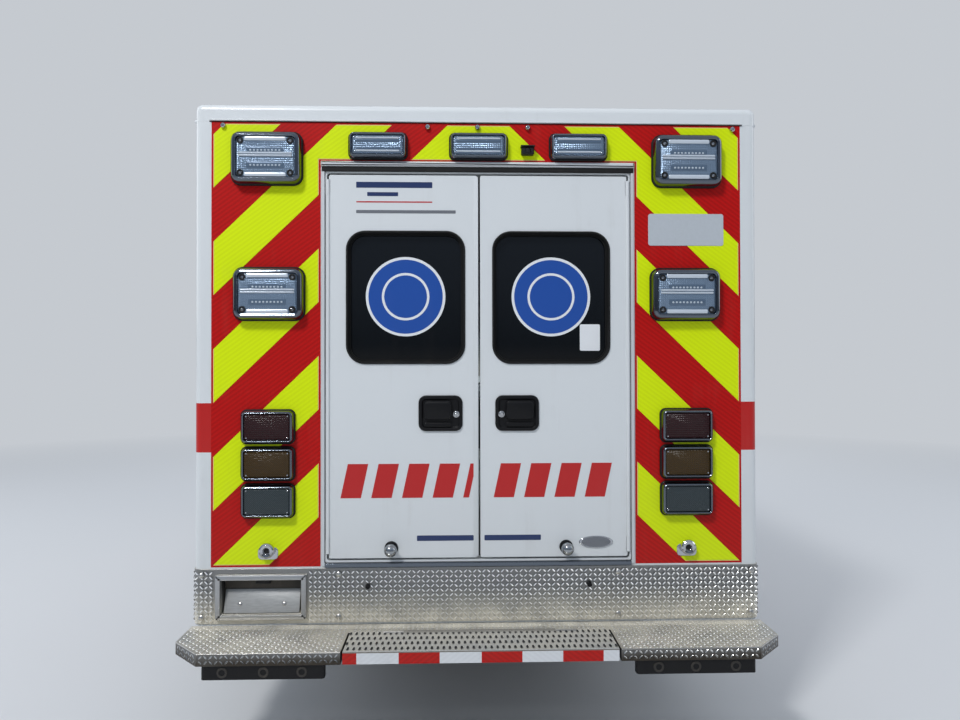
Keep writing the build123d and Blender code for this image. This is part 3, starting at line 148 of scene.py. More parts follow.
# Ground. A plain pale floor, flat and round, takes the shadow. A few metres out it melts into the
# backdrop, so that no horizon shows behind the vehicle.
GROUND_R = 120
CLEAR_R = 4.5
MELT_RUN = 9.0
bm = bmesh.new()
bmesh.ops.create_circle(bm, cap_ends=True, segments=96, radius=GROUND_R)
mesh = bpy.data.meshes.new("ground")
bm.to_mesh(mesh)
bm.free()
ground = in_scene("ground", mesh)
floor_paint = bpy.data.materials.new("floor_paint")
floor_paint.use_nodes = True
tree = floor_paint.node_tree
shader = tree.nodes["Principled BSDF"]
shader.inputs["Base Color"].default_value = (0.66, 0.67, 0.68, 1)
shader.inputs["Roughness"].default_value = 0.85
spot = wire(tree, "TexCoord").outputs["Object"]
reach = wire(tree, "VectorMath", {0: spot}, operation="LENGTH").outputs["Value"]
far = calc(tree, "DIVIDE", calc(tree, "SUBTRACT", reach, CLEAR_R), MELT_RUN, clamp=True)
haze = wire(tree, "Emission", {0: BACKDROP, 1: 1.0})
melt = wire(tree, "MixShader", {0: far, 1: shader.outputs[0], 2: haze.outputs[0]})
tree.links.new(melt.outputs[0], tree.nodes["Material Output"].inputs["Surface"])
mesh.materials.append(floor_paint)
ground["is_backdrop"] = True

# Chassis. Black painted rails, axles and tank with road dirt thrown over them, a cast engine and
# gearbox, and a heat-stained exhaust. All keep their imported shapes.


def effect(name, inputs, outputs):
    """A shader node group with named sockets. inputs are (label, kind, value)."""
    tree = bpy.data.node_groups.new(name, "ShaderNodeTree")
    for label, kind, value in inputs:
        entry = tree.interface.new_socket(label, in_out="INPUT", socket_type="NodeSocket" + kind)
        entry.default_value = value
    for label, kind in outputs:
        tree.interface.new_socket(label, in_out="OUTPUT", socket_type="NodeSocket" + kind)
    return tree, tree.nodes.new("NodeGroupInput").outputs, tree.nodes.new("NodeGroupOutput").inputs


# Road dirt runs down in streaks, lies in patches and thickens towards the road
tree, given, result = effect(
    "road_dirt",
    [("Colour", "Color", (0.8, 0.8, 0.8, 1)), ("Dirt colour", "Color", (0.25, 0.21, 0.16, 1)),
     ("Roughness", "Float", 0.4), ("Dirt", "Float", 0.3), ("Reach", "Float", 0.9)],
    [("Colour", "Color"), ("Roughness", "Float")],
)
place = wire(tree, "TexCoord").outputs["Object"]
runs = wire(tree, "Mapping", {"Vector": place, "Scale": (18, 18, 1.2)}).outputs[0]
runs = wire(tree, "TexNoise", {"Vector": runs, "Scale": 1.0, "Detail": 6.0, "Roughness": 0.62}).outputs[0]
patches = wire(tree, "TexNoise", {"Vector": place, "Scale": 2.6, "Detail": 8.0, "Roughness": 0.68}).outputs[0]
both = calc(tree, "MULTIPLY_ADD", runs, 0.55, calc(tree, "MULTIPLY", patches, 0.55))
height = wire(tree, "SeparateXYZ", {0: place}).outputs[2]
low = calc(tree, "SUBTRACT", 1.0, calc(tree, "DIVIDE", height, given["Reach"]), clamp=True)
low = calc(tree, "POWER", low, 1.6)
loose = calc(tree, "MULTIPLY", calc(tree, "SUBTRACT", both, 0.60), 3.2, clamp=True)
cover = calc(tree, "MULTIPLY_ADD", calc(tree, "MULTIPLY", low, both), 2.2, loose)
cover = calc(tree, "MULTIPLY", cover, given["Dirt"], clamp=True)
tree.links.new(blended(tree, cover, given["Colour"], given["Dirt colour"]), result["Colour"])
tree.links.new(calc(tree, "MULTIPLY_ADD", cover, 0.45, given["Roughness"], clamp=True), result["Roughness"])

# A worked surface has a grain, soft edges that catch the light, and wear along those edges
tree, given, result = effect(
    "worked_surface",
    [("Grain scale", "Vector", (100, 100, 100)), ("Grain", "Float", 0.1), ("Edge", "Float", 0.003)],
    [("Normal", "Vector"), ("Wear", "Float"), ("Grain mask", "Float")],
)
place = wire(tree, "TexCoord").outputs["Object"]
grain = wire(tree, "Mapping", {"Vector": place, "Scale": given["Grain scale"]}).outputs[0]
grain = wire(tree, "TexNoise", {"Vector": grain, "Scale": 1.0, "Detail": 3.0}).outputs[0]
soft = wire(tree, "Bevel", {"Radius": given["Edge"]}, samples=4).outputs[0]
bump = wire(tree, "Bump", {"Strength": given["Grain"], "Distance": 0.002, "Height": grain, "Normal": soft})
tree.links.new(bump.outputs[0], result["Normal"])
flat = wire(tree, "NewGeometry").outputs["Normal"]
facing = wire(tree, "VectorMath", {0: soft, 1: flat}, operation="DOT_PRODUCT").outputs["Value"]
turned_away = calc(tree, "SUBTRACT", 1.0, facing)
chips = wire(tree, "TexNoise", {"Vector": place, "Scale": 55.0, "Detail": 5.0}).outputs[0]
wear = calc(tree, "MULTIPLY", turned_away, 9.0, clamp=True)
wear = calc(tree, "MULTIPLY", wear, calc(tree, "MULTIPLY", chips, 1.7), clamp=True)
tree.links.new(wear, result["Wear"])
tree.links.new(grain, result["Grain mask"])


def coat(name, colour, roughness, metallic=0.0, dirt=0.3, reach=0.9, grain=100, depth=0.1, edge=0.003,
         worn=None, mottle=0.0, **settings):
    """A finish: colour, edges worn to the worn colour, then dirt. grain is one scale or one per axis."""
    finish = bpy.data.materials.new(name)
    finish.use_nodes = True
    finish.diffuse_color = (*colour, 1)
    tree = finish.node_tree
    shader = tree.nodes["Principled BSDF"]
    surface = wire(tree, "Group", node_tree=bpy.data.node_groups["worked_surface"], name="surface")
    scale = grain if isinstance(grain, tuple) else (grain, grain, grain)
    for key, value in (("Grain scale", scale), ("Grain", depth), ("Edge", edge)):
        surface.inputs[key].default_value = value
    layer = wire(tree, "Group", node_tree=bpy.data.node_groups["road_dirt"], name="dirt")
    for key, value in (("Dirt", dirt), ("Reach", reach), ("Roughness", roughness)):
        layer.inputs[key].default_value = value
    shade = tuple(channel * (1 - mottle) for channel in colour)
    tone = blended(tree, surface.outputs["Grain mask"], (*shade, 1), (*colour, 1))
    tone = blended(tree, surface.outputs["Wear"], tone, (*(worn or colour), 1))
    tree.links.new(tone, layer.inputs["Colour"])
    tree.links.new(layer.outputs["Colour"], shader.inputs["Base Color"])
    tree.links.new(layer.outputs["Roughness"], shader.inputs["Roughness"])
    tree.links.new(surface.outputs["Normal"], shader.inputs["Normal"])
    shader.inputs["Metallic"].default_value = metallic
    for key, value in settings.items():
        shader.inputs[key.replace("_", " ")].default_value = value
    return finish


def axes(tree):
    """Sockets that give a point's own X, Y and Z."""
    return wire(tree, "SeparateXYZ", {0: wire(tree, "TexCoord").outputs["Object"]}).outputs


def wave(tree, value, pitch):
    """A sine along a value, one turn in each pitch."""
    return calc(tree, "SINE", calc(tree, "MULTIPLY", value, 2 * pi / pitch))


def overlay(tree, amount, colour):
    """Lays a colour over a finish's own, under its dirt."""
    layer = tree.nodes["dirt"].inputs["Colour"]
    tree.links.new(blended(tree, amount, layer.links[0].from_socket, (*colour, 1)), layer)


def finish_nodes(finish, *names):
    """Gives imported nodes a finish, and leaves their shape alone."""
    for name in names:
        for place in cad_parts[name].material_slots:
            place.material = finish


chassis_black = coat(
    "chassis_black", (0.016, 0.016, 0.016), 0.55, dirt=0.75, reach=1.3, depth=0.3, worn=(0.10, 0.07, 0.05),
    mottle=0.3,
)
cast_iron = coat("cast_iron", (0.12, 0.12, 0.12), 0.65, 0.6, dirt=0.7, reach=1.6, grain=240, depth=0.5)
hot_steel = coat(
    "hot_steel", (0.30, 0.23, 0.18), 0.5, 1, dirt=0.6, reach=1.0, grain=(30, 9, 30), depth=0.2, mottle=0.5
)
finish_nodes(
    chassis_black, "frame_rails", "front_suspension", "rear_suspension", "left_knuckle", "right_knuckle",
    "fuel_tank",
)
finish_nodes(cast_iron, "drivetrain")
finish_nodes(hot_steel, "exhaust")

# Wheels. Pressed steel wheels with polished liners, each held by a ring of hexagonal nuts. The disc
# is far out at the front and far in at the back, where two tyres stand side by side.
FRONT_AXLE_Y = 2.640
REAR_AXLE_Y = -1.373
AXLES = (("front", "", FRONT_AXLE_Y), ("rear", "s", REAR_AXLE_Y))
DISCS_X = {"front": 1.012, "rear": 0.877}
AXLE_Z = 0.372
NUT_COUNT = 8
NUT_CIRCLE = 0.086
NUT_R = 0.0125
SIDES = (-1, 1)
HANDS = (("left", -1), ("right", 1))
OUTWARD = {
    "rear": Matrix(((1, 0, 0), (0, 0, -1), (0, 1, 0))),
    "front": Matrix(((-1, 0, 0), (0, 0, 1), (0, 1, 0))),
    "right": Matrix(((0, 0, 1), (1, 0, 0), (0, 1, 0))),
    "left": Matrix(((0, 0, -1), (-1, 0, 0), (0, 1, 0))),
    "top": Matrix(((1, 0, 0), (0, 1, 0), (0, 0, 1))),
}


def on(face, x, y, z):
    """A place on one face of the vehicle: its X runs right, its Y up and its Z straight out."""
    return Matrix.Translation((x, y, z)) @ OUTWARD[face].to_4x4()


def shift(x=0.0, y=0.0, z=0.0):
    return Matrix.Translation((x, y, z))


def spin(angle, axis="Z"):
    return Matrix.Rotation(angle, 4, axis)


def turned(points, segments):
    """A part turned about its own outward axis from (radius, height) points."""
    bm = bmesh.new()
    line = [bm.verts.new((radius, 0, height)) for radius, height in points]
    edges = [bm.edges.new(pair) for pair in zip(line, line[1:])]
    bmesh.ops.spin(
        bm, geom=line + edges, cent=(0, 0, 0), axis=(0, 0, 1), angle=2 * pi, steps=segments, use_merge=True,
        use_duplicate=False,
    )
    bmesh.ops.remove_doubles(bm, verts=bm.verts, dist=1e-6)
    return bm


def add_copy(whole, part, place):
    """Adds a copy of one mesh to another, moved to its place."""
    copy = bpy.data.meshes.new("part")
    part.to_mesh(copy)
    copy.transform(place)
    if place.determinant() < 0:
        copy.flip_normals()
    whole.from_mesh(copy)
    bpy.data.meshes.remove(copy)


def assemble(name, parts, body="chassis", bevel=0.0):
    """One piece from (mesh, place or places, finish) parts, riding on a body."""
    whole = bmesh.new()
    finishes = []
    for part, places, finish in parts:
        if finish not in finishes:
            finishes.append(finish)
        for face in part.faces:
            face.material_index = finishes.index(finish)
        bmesh.ops.recalc_face_normals(part, faces=part.faces)
        for place in places if isinstance(places, list) else [places]:
            add_copy(whole, part, place)
    mesh = bpy.data.meshes.new(name)
    whole.to_mesh(mesh)
    whole.free()
    for finish in finishes:
        mesh.materials.append(finish)
    mesh.shade_smooth()
    mesh.set_sharp_from_angle(angle=radians(35))
    piece = in_scene(name, mesh)
    if bevel:
        soft = piece.modifiers.new("soft", "BEVEL")
        soft.width = bevel
        soft.segments = 2
        soft.harden_normals = True
    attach(piece, body)
    return piece


polished_steel = coat(
    "polished_steel", (0.60, 0.59, 0.58), 0.22, 1, dirt=0.5, reach=0.9, grain=160, depth=0.06, mottle=0.12
)
nut_steel = coat("nut_steel", (0.55, 0.54, 0.52), 0.28, 1, dirt=0.5, reach=0.9, edge=0.001)
finish_nodes(polished_steel, "front_left_rim", "front_right_rim", "rear_left_rims", "rear_right_rims")
for hand, side in HANDS:
    for axle, many, y in AXLES:
        nut = turned([
            (0, 0.021), (NUT_R * 0.6, 0.021), (NUT_R, 0.017), (NUT_R, 0.003), (NUT_R + 0.003, 0),
        ], 6)
        centre = on(hand, side * DISCS_X[axle], y, AXLE_Z)
        ring = [centre @ spin(2 * pi * k / NUT_COUNT) @ shift(NUT_CIRCLE) for k in range(NUT_COUNT)]
        body = f"{axle}_{hand}_wheel{many}"
        assemble(f"{axle}_{hand}_wheel_nuts", [(nut, ring, nut_steel)], body)

# Tyres. All-season truck tyres: a bead line, a bulged wall with a raised ring, and a tread of five
# ribs cut into blocks. Half of the section is given as (out from the middle, radius) points.
HALF_SECTION = [
    (0.0, 0.3645), (0.013, 0.3645), (0.017, 0.3645), (0.041, 0.3645), (0.046, 0.3645), (0.072, 0.3645),
    (0.078, 0.3640), (0.091, 0.3600), (0.1015, 0.3500), (0.1060, 0.3360), (0.1105, 0.3180),
    (0.1085, 0.3120), (0.1122, 0.2920), (0.1085, 0.2660), (0.1055, 0.2480), (0.0975, 0.2430),
    (0.0865, 0.2240), (0.0840, 0.2068),
]
TREAD_STEPS = 84
TREAD_H = 0.0074
TREAD_FROM_R = 0.355
BLOCK_GAP = 0.0017
TYRES_X = {"front": (0.882,), "rear": (0.997, 0.737)}
RIBS = ((0.0, 0.014), (0.016, 0.042), (0.045, 0.073), (0.077, 0.092))
tyre_black = coat(
    "tyre_black", (0.016, 0.0155, 0.015), 0.75, dirt=0.30, reach=0.8, grain=300, depth=0.25, edge=0.001
)


def road_tyre():
    """One tyre about the outward axis."""
    bm = bmesh.new()
    section = [(-out, radius) for out, radius in HALF_SECTION[:0:-1]] + HALF_SECTION
    line = [bm.verts.new((radius, 0, out)) for out, radius in section]
    edges = [bm.edges.new(pair) for pair in zip(line, line[1:])]
    edges.append(bm.edges.new((line[-1], line[0])))
    bmesh.ops.spin(
        bm, geom=line + edges, cent=(0, 0, 0), axis=(0, 0, 1), angle=2 * pi, steps=TREAD_STEPS,
        use_merge=True, use_duplicate=False,
    )
    bmesh.ops.remove_doubles(bm, verts=bm.verts, dist=1e-6)
    bmesh.ops.recalc_face_normals(bm, faces=bm.faces)
    blocks = []
    for face in bm.faces:
        middle = face.calc_center_median()
        out = abs(middle.z)
        if middle.xy.length > TREAD_FROM_R and any(low < out < high for low, high in RIBS):
            blocks.append(face)
    bmesh.ops.inset_individual(bm, faces=blocks, thickness=BLOCK_GAP, depth=TREAD_H)
    return bm


for hand, side in HANDS:
    for axle, many, y in AXLES:
        parts = [(road_tyre(), [on(hand, side * x, y, AXLE_Z) for x in TYRES_X[axle]], tyre_black)]
        body = f"{axle}_{hand}_wheel{many}"
        made = assemble(f"{axle}_{hand}_road_tyre{many}", parts, body)
        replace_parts(made, f"{axle}_{hand}_tyre{many}")

# Cab. White pressed-steel van cab with a thin red line along it, glass, black mirrors and a chrome
# front. It keeps its packed panels, which get paint, trim and small fittings.
white_paint = coat(
    "white_paint", (0.705, 0.733, 0.748), 0.28, dirt=0.20, reach=1.5, grain=240, depth=0.03,
    Coat_Weight=0.25, Coat_Roughness=0.1, Specular_IOR_Level=0.4,
)
STRIPE_RED = (0.50, 0.004, 0.003)
CAB_STRIPE_Z = (1.110, 1.205)
CAB_SKIN_X = 0.94


def striped(name, low, high, from_x, behind=-99.0):
    """White paint with a red stripe between two heights, further out than from_x or behind a y."""
    finish = white_paint.copy()
    finish.name = name
    tree = finish.node_tree
    place = axes(tree)
    inside = calc(tree, "GREATER_THAN", place[2], low)
    inside = calc(tree, "MULTIPLY", inside, calc(tree, "LESS_THAN", place[2], high))
    skin = calc(tree, "GREATER_THAN", calc(tree, "ABSOLUTE", place[0]), from_x)
    skin = calc(tree, "MAXIMUM", skin, calc(tree, "LESS_THAN", place[1], behind))
    overlay(tree, calc(tree, "MULTIPLY", inside, skin), STRIPE_RED)
    return finish


def glass(name, colour, clear):
    """Clear or tinted glass with a trace of dust."""
    finish = coat(name, colour, 0.01, dirt=0.05, reach=1.4, depth=0.0, edge=0.0, IOR=1.5)
    finish.node_tree.nodes["Principled BSDF"].inputs["Transmission Weight"].default_value = clear
    return finish


cab_paint = striped("cab_paint", *CAB_STRIPE_Z, CAB_SKIN_X)
clear_glass = glass("clear_glass", (0.72, 0.78, 0.77), 0.96)
tinted_glass = glass("tinted_glass", (0.006, 0.008, 0.011), 0.30)
chrome = coat("chrome", (0.52, 0.53, 0.55), 0.07, 1, dirt=0.10, reach=0.8, depth=0.0, edge=0.002)
lamp_chrome = coat("lamp_chrome", (0.15, 0.17, 0.20), 0.11, 1, dirt=0.06, reach=0.8, depth=0.0, edge=0.002)
mirror_silver = coat("mirror_silver", (0.90, 0.91, 0.92), 0.02, 1, dirt=0.04, depth=0.0, edge=0.0)
black_plastic = coat(
    "black_plastic", (0.011, 0.011, 0.012), 0.45, dirt=0.08, reach=1.2, grain=900, depth=0.2, edge=0.002,
    Specular_IOR_Level=0.3,
)
black_rubber = coat(
    "black_rubber", (0.009, 0.009, 0.009), 0.6, dirt=0.12, reach=1.0, depth=0.2, edge=0.001,
    Specular_IOR_Level=0.25,
)
finish_nodes(cab_paint, "cab_shell", "front_wings", "bonnet", "left_cab_door", "right_cab_door")
finish_nodes(clear_glass, "windscreen", "left_door_window", "right_door_window", "headlamps")
finish_nodes(chrome, "front_bumper", "grille")
finish_nodes(black_plastic, "left_mirror", "right_mirror", "steering_wheel")


def plate(width, height, radius, steps, open_frame=False, corner=5):
    """A rounded plate or frame that grows outwards: each (inset, rise) step starts where the last ended."""
    bm = bmesh.new()
    corners = bmesh.ops.create_grid(bm, x_segments=1, y_segments=1, size=0.5)["verts"]
    bmesh.ops.scale(bm, vec=(width, height, 1), verts=corners)
    if radius:
        bmesh.ops.bevel(
            bm, geom=corners, offset=radius, offset_type="OFFSET", segments=corner, profile=0.5,
            affect="VERTICES", material=-1,
        )
    bm.faces.ensure_lookup_table()
    top = bm.faces[0]
    if top.normal.z < 0:
        bmesh.ops.reverse_faces(bm, faces=[top])
    for inset, rise in steps:
        bmesh.ops.inset_individual(bm, faces=[top], thickness=inset, depth=rise)
    if open_frame:
        bmesh.ops.delete(bm, geom=[top], context="FACES_ONLY")
        bmesh.ops.bridge_loops(bm, edges=[edge for edge in bm.edges if edge.is_boundary])
    else:
        bmesh.ops.holes_fill(bm, edges=[edge for edge in bm.edges if edge.is_boundary])
    return bm


# Mirror glasses and door handles. Each mirror head holds a tall flat glass and a low convex one,
# silvered and clipped in from behind. The cab doors have pull handles with a painted grip in a black
# plastic cup, and a chromed lock barrel.
GLASS_W = 0.138
GLASS_Y = 2.055
TALL_GLASS_Z = 1.540
WIDE_GLASS_Z = 1.373
CAB_SIDE_X = 1.008
HANDLE_AT = (1.345, 1.190)
for hand, side in HANDS:
    low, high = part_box(f"{hand}_mirror")
    head_x = side * (abs(low[0] if side < 0 else high[0]) - 0.085)
    tall = plate(GLASS_W, 0.205, 0.030, [(0, 0.001), (0.003, 0.002)])
    wide = plate(GLASS_W, 0.088, 0.026, [(0, 0.001), (0.003, 0.002), (0.02, 0.004)])
    assemble(f"{hand}_mirror_glass", [
        (tall, on("rear", head_x, GLASS_Y, TALL_GLASS_Z), mirror_silver),
        (wide, on("rear", head_x, GLASS_Y, WIDE_GLASS_Z), mirror_silver),
    ], f"{hand}_cab_door")
    skin = on(hand, side * CAB_SIDE_X, *HANDLE_AT)
    cup = plate(0.205, 0.062, 0.030, [(0, 0.002), (0.003, 0.001), (0.012, -0.001)])
    grip = plate(0.150, 0.026, 0.012, [(0, 0.014), (0.003, 0.008), (0.004, 0.002)])
    barrel = turned([(0, 0.006), (0.007, 0.006), (0.0075, 0.003), (0.010, 0.003), (0.010, 0)], 20)
    assemble(f"{hand}_cab_handle", [
        (cup, skin, black_plastic), (grip, skin @ shift(0.010 * side, 0.004, 0.001), white_paint),
        (barrel, skin @ shift(-0.082 * side, 0, 0.002), chrome),
    ], f"{hand}_cab_door", bevel=0.001)

# Wipers. Two pressed steel arms, painted black, press rubber blades on the windscreen. The screen
# leans back and is part of a drum, so a place on it is given across it and up its slope.
WIPERS = ((0.05, 0.52, 0.60), (-0.60, -0.16, -0.06))
SCREEN_FOOT = Vector((0, 2.550, 1.330))
SCREEN_UP = Vector((0, -590, 680)).normalized()
SCREEN_OUT = Vector((0, 680, 590)).normalized()
SCREEN_R = 3.2


def on_screen(x, up, out):
    """A point on the windscreen: across, up the slope, and off the glass."""
    return SCREEN_FOOT + SCREEN_UP * up + SCREEN_OUT * (out - x * x / (2 * SCREEN_R)) + Vector((x, 0, 0))


def strip_between(bm, start, end, width, height):
    """A tapered bar from one point to another, square to the windscreen."""
    made = bmesh.ops.create_cube(bm, size=1)["verts"]
    along = end - start
    across = SCREEN_OUT.cross(along).normalized()
    up = along.cross(across).normalized()
    turn = Matrix((along.normalized(), across, up)).transposed().to_4x4()
    size = Matrix.Diagonal((along.length, width, height, 1))
    place = Matrix.Translation((start + end) / 2) @ turn @ size
    bmesh.ops.transform(bm, matrix=place, verts=made)


bm = bmesh.new()
for pivot, tip, blade_end in WIPERS:
    elbow = (pivot + tip) / 2 + 0.02
    heel = pivot + 0.14
    strip_between(bm, on_screen(pivot, 0.050, 0.016), on_screen(elbow, 0.110, 0.022), 0.022, 0.010)
    strip_between(bm, on_screen(elbow, 0.110, 0.020), on_screen(tip, 0.150, 0.017), 0.012, 0.006)
    strip_between(bm, on_screen(heel, 0.098, 0.010), on_screen(blade_end, 0.150, 0.010), 0.012, 0.010)
    strip_between(bm, on_screen(heel, 0.090, 0.003), on_screen(blade_end, 0.142, 0.003), 0.004, 0.008)
assemble("wipers", [(bm, Matrix(), black_plastic)], bevel=0.001)

# Headlamps and radiator. Behind each clear cover stand a chromed bowl with its bulb and a smaller
# amber bowl for the turn signal. Behind the grille is a black radiator core with thin cast fins.
BOWL = [
    (0.012, 0), (0.030, 0.004), (0.052, 0.016), (0.070, 0.036), (0.078, 0.036), (0.078, 0.030),
    (0.050, -0.004), (0.012, -0.010), (0.012, 0),
]
BOWL_AT = (0.800, 3.215)
SIGNAL_AT = (0.925, 3.150)
BOWL_Z = 0.865
SIGNAL_SCALE = 0.62
FIN_COUNT = 27
FIN_PITCH = 0.011
bowls = [on("front", side * BOWL_AT[0], BOWL_AT[1], BOWL_Z) for side in SIDES]
turn_signals = [on("front", side * SIGNAL_AT[0], SIGNAL_AT[1], BOWL_Z) for side in SIDES]
bulb = turned([(0, 0.034), (0.008, 0.030), (0.010, 0.020), (0.008, 0.0), (0.0, -0.004)], 16)
amber_plastic = coat("amber_plastic", (0.60, 0.20, 0.01), 0.2, dirt=0.0, depth=0.05, edge=0.0)
assemble("headlamp_bowls", [
    (turned(BOWL, 40), bowls, chrome), (bulb, bowls, clear_glass),
    (turned([(r * SIGNAL_SCALE, h * SIGNAL_SCALE) for r, h in BOWL], 32), turn_signals, amber_plastic),
])
core = bmesh.new()
core_place = shift(0, 3.136, 0.815) @ Matrix.Diagonal((1.16, 0.020, 0.30, 1))
bmesh.ops.create_cube(core, size=1, matrix=core_place)
fin = bmesh.new()
bmesh.ops.create_cube(fin, size=1, matrix=Matrix.Diagonal((1.14, 0.008, 0.004, 1)))
fins = [shift(0, 3.150, 0.674 + FIN_PITCH * k) for k in range(FIN_COUNT)]
assemble("radiator_core", [(core, Matrix(), chassis_black), (fin, fins, cast_iron)])

# Cab seats. Two bucket seats on steel boxes: foam under dark woven cloth, with raised bolsters, sewn
# channels and a headrest on two posts. The foam is blown up by cloth pressure from rounded forms.
SEAT_MID_X = 0.615
SEAT_MID_Y = 1.585
SEAT_TOP_Z = 1.020
SEAT_BACK_FOOT = (1.365, 0.890)
SEAT_LEAN = radians(10)
CUSHION = (0.40, 0.450, 0.110, 0.035)
CUSHION_BOLSTER = (0.085, 0.455, 0.120, 0.038)
BACKREST = (0.38, 0.090, 0.640, 0.036)
BACK_BOLSTER = (0.085, 0.100, 0.600, 0.036)
HEADREST = (0.235, 0.062, 0.120, 0.028)
SEAT_BOX = (0.350, 0.380, 0.195, 0.012)
VOXEL = 0.0135
CLOTH_FRAMES = 20
BELL_BASE = 2.718


def foam(width, depth, height, soft):
    """A rounded foam block about its middle."""
    bm = bmesh.new()
    bmesh.ops.create_cube(bm, size=1)
    bmesh.ops.scale(bm, vec=(width, depth, height), verts=bm.verts)
    bmesh.ops.bevel(
        bm, geom=bm.edges, offset=soft, offset_type="OFFSET", segments=4, profile=0.5, affect="EDGES",
        material=-1,
    )
    return bm


def read_back(piece):
    """The mesh that a piece's modifiers give now."""
    bpy.context.view_layer.update()
    seen = piece.evaluated_get(bpy.context.evaluated_depsgraph_get())
    return bpy.data.meshes.new_from_object(seen)


def stuffed(name, forms, cap, seams, finish):
    """A padded piece. seams are (axis, place, width, depth) channels sewn after the foam is blown up."""
    bm = bmesh.new()
    for form, place in forms:
        add_copy(bm, form, place)
    mesh = bpy.data.meshes.new(name)
    bm.to_mesh(mesh)
    bm.free()
    pad = in_scene(name, mesh)
    even = pad.modifiers.new("even", "REMESH")
    even.mode = "VOXEL"
    even.voxel_size = VOXEL
    pad.data = read_back(pad)
    pad.modifiers.clear()
    cloth = pad.modifiers.new("air", "CLOTH")
    cloth.settings.use_pressure = True
    cloth.settings.uniform_pressure_force = 4
    cloth.settings.effector_weights.gravity = 0
    cloth.settings.quality = 4
    for step in range(1, CLOTH_FRAMES + 1):
        bpy.context.scene.frame_set(step)
        bpy.context.view_layer.update()
    blown = read_back(pad)
    pad.modifiers.clear()
    bpy.context.scene.frame_set(1)
    for vert, after in zip(pad.data.vertices, blown.vertices):
        move = after.co - vert.co
        vert.co += move * min(1.0, cap / max(move.length, 1e-6))
    finer = pad.modifiers.new("finer", "SUBSURF")
    finer.levels = finer.render_levels = 1
    pad.data = read_back(pad)
    pad.modifiers.clear()
    normals = [vert.normal.copy() for vert in pad.data.vertices]
    for vert, normal in zip(pad.data.vertices, normals):
        push = 0.0
        for axis, place, width, depth in seams:
            away = (vert.co[axis] - place) / width
            push = max(push, depth * BELL_BASE ** (-away * away))
        vert.co -= normal * push
    pad.data.materials.clear()
    pad.data.materials.append(finish)
    pad.data.shade_smooth()
    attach(pad, "chassis")
    return pad


def upholstery(name, colour, roughness, pitch, depth, sheen):
    """Woven or grained cover: crossed threads in colour and height, worn paler in patches."""
    finish = coat(name, colour, roughness, dirt=0.05, depth=0.0, edge=0.0)
    tree = finish.node_tree
    shader = tree.nodes["Principled BSDF"]
    place = axes(tree)
    threads = [
        calc(tree, "MULTIPLY", wave(tree, place[a], pitch), wave(tree, place[b], pitch))
        for a, b in ((0, 1), (1, 2), (0, 2))
    ]
    height = calc(tree, "ADD", calc(tree, "ADD", threads[0], threads[1]), threads[2])
    bump = wire(tree, "Bump", {"Strength": depth, "Distance": 0.0012, "Height": height})
    tree.links.new(bump.outputs[0], shader.inputs["Normal"])
    spot = wire(tree, "TexCoord").outputs["Object"]
    worn = wire(tree, "TexNoise", {"Vector": spot, "Scale": 7.0, "Detail": 5.0})
    paler = tuple(min(1, channel * 1.6 + 0.01) for channel in colour)
    overlay(tree, calc(tree, "MULTIPLY", worn.outputs[0], 0.7), paler)
    shader.inputs["Sheen Weight"].default_value = sheen
    return finish


seat_cloth = upholstery("seat_cloth", (0.045, 0.047, 0.052), 0.9, 0.0032, 0.5, 0.3)
bench_vinyl = upholstery("bench_vinyl", (0.055, 0.075, 0.115), 0.45, 0.0022, 0.18, 0.0)
forms = []
parts = []
for side in SIDES:
    middle = shift(side * SEAT_MID_X, SEAT_MID_Y, SEAT_TOP_Z - 0.068)
    forms.append((foam(*CUSHION), middle @ shift(0, 0, -0.006)))
    for hand in SIDES:
        forms.append((foam(*CUSHION_BOLSTER), middle @ shift(hand * 0.188, 0, 0.000)))
    back = shift(side * SEAT_MID_X, *SEAT_BACK_FOOT) @ spin(SEAT_LEAN, "X")
    forms.append((foam(*BACKREST), back @ shift(0, 0.004, 0.375)))
    for hand in SIDES:
        forms.append((foam(*BACK_BOLSTER), back @ shift(hand * 0.180, 0.002, 0.360)))
    forms.append((foam(*HEADREST), back @ shift(0, 0, 0.800)))
    post = turned([(0.006, 0), (0.006, 0.080)], 14)
    parts.append((post, [back @ shift(x * 0.055, 0, 0.685) for x in SIDES], chrome))
    box = foam(*SEAT_BOX)
    parts.append((box, shift(side * SEAT_MID_X, SEAT_MID_Y, 0.804), chassis_black))
    knob = turned([(0, 0.016), (0.026, 0.014), (0.030, 0.008), (0.030, 0)], 28)
    hinge_face = on("right" if side > 0 else "left", side * (SEAT_MID_X + 0.232), 1.392, 0.940)
    parts.append((knob, hinge_face, black_plastic))
seams = [(0, side * SEAT_MID_X + x, 0.008, 0.007) for side in SIDES for x in (-0.145, 0.145)]
seams += [(1, y, 0.008, 0.005) for y in (1.52, 1.65)]
seat_pads = stuffed("seat_pads", forms, 0.008, seams, seat_cloth)
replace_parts(seat_pads, "cab_seats")
assemble("seat_frames", parts, bevel=0.002)

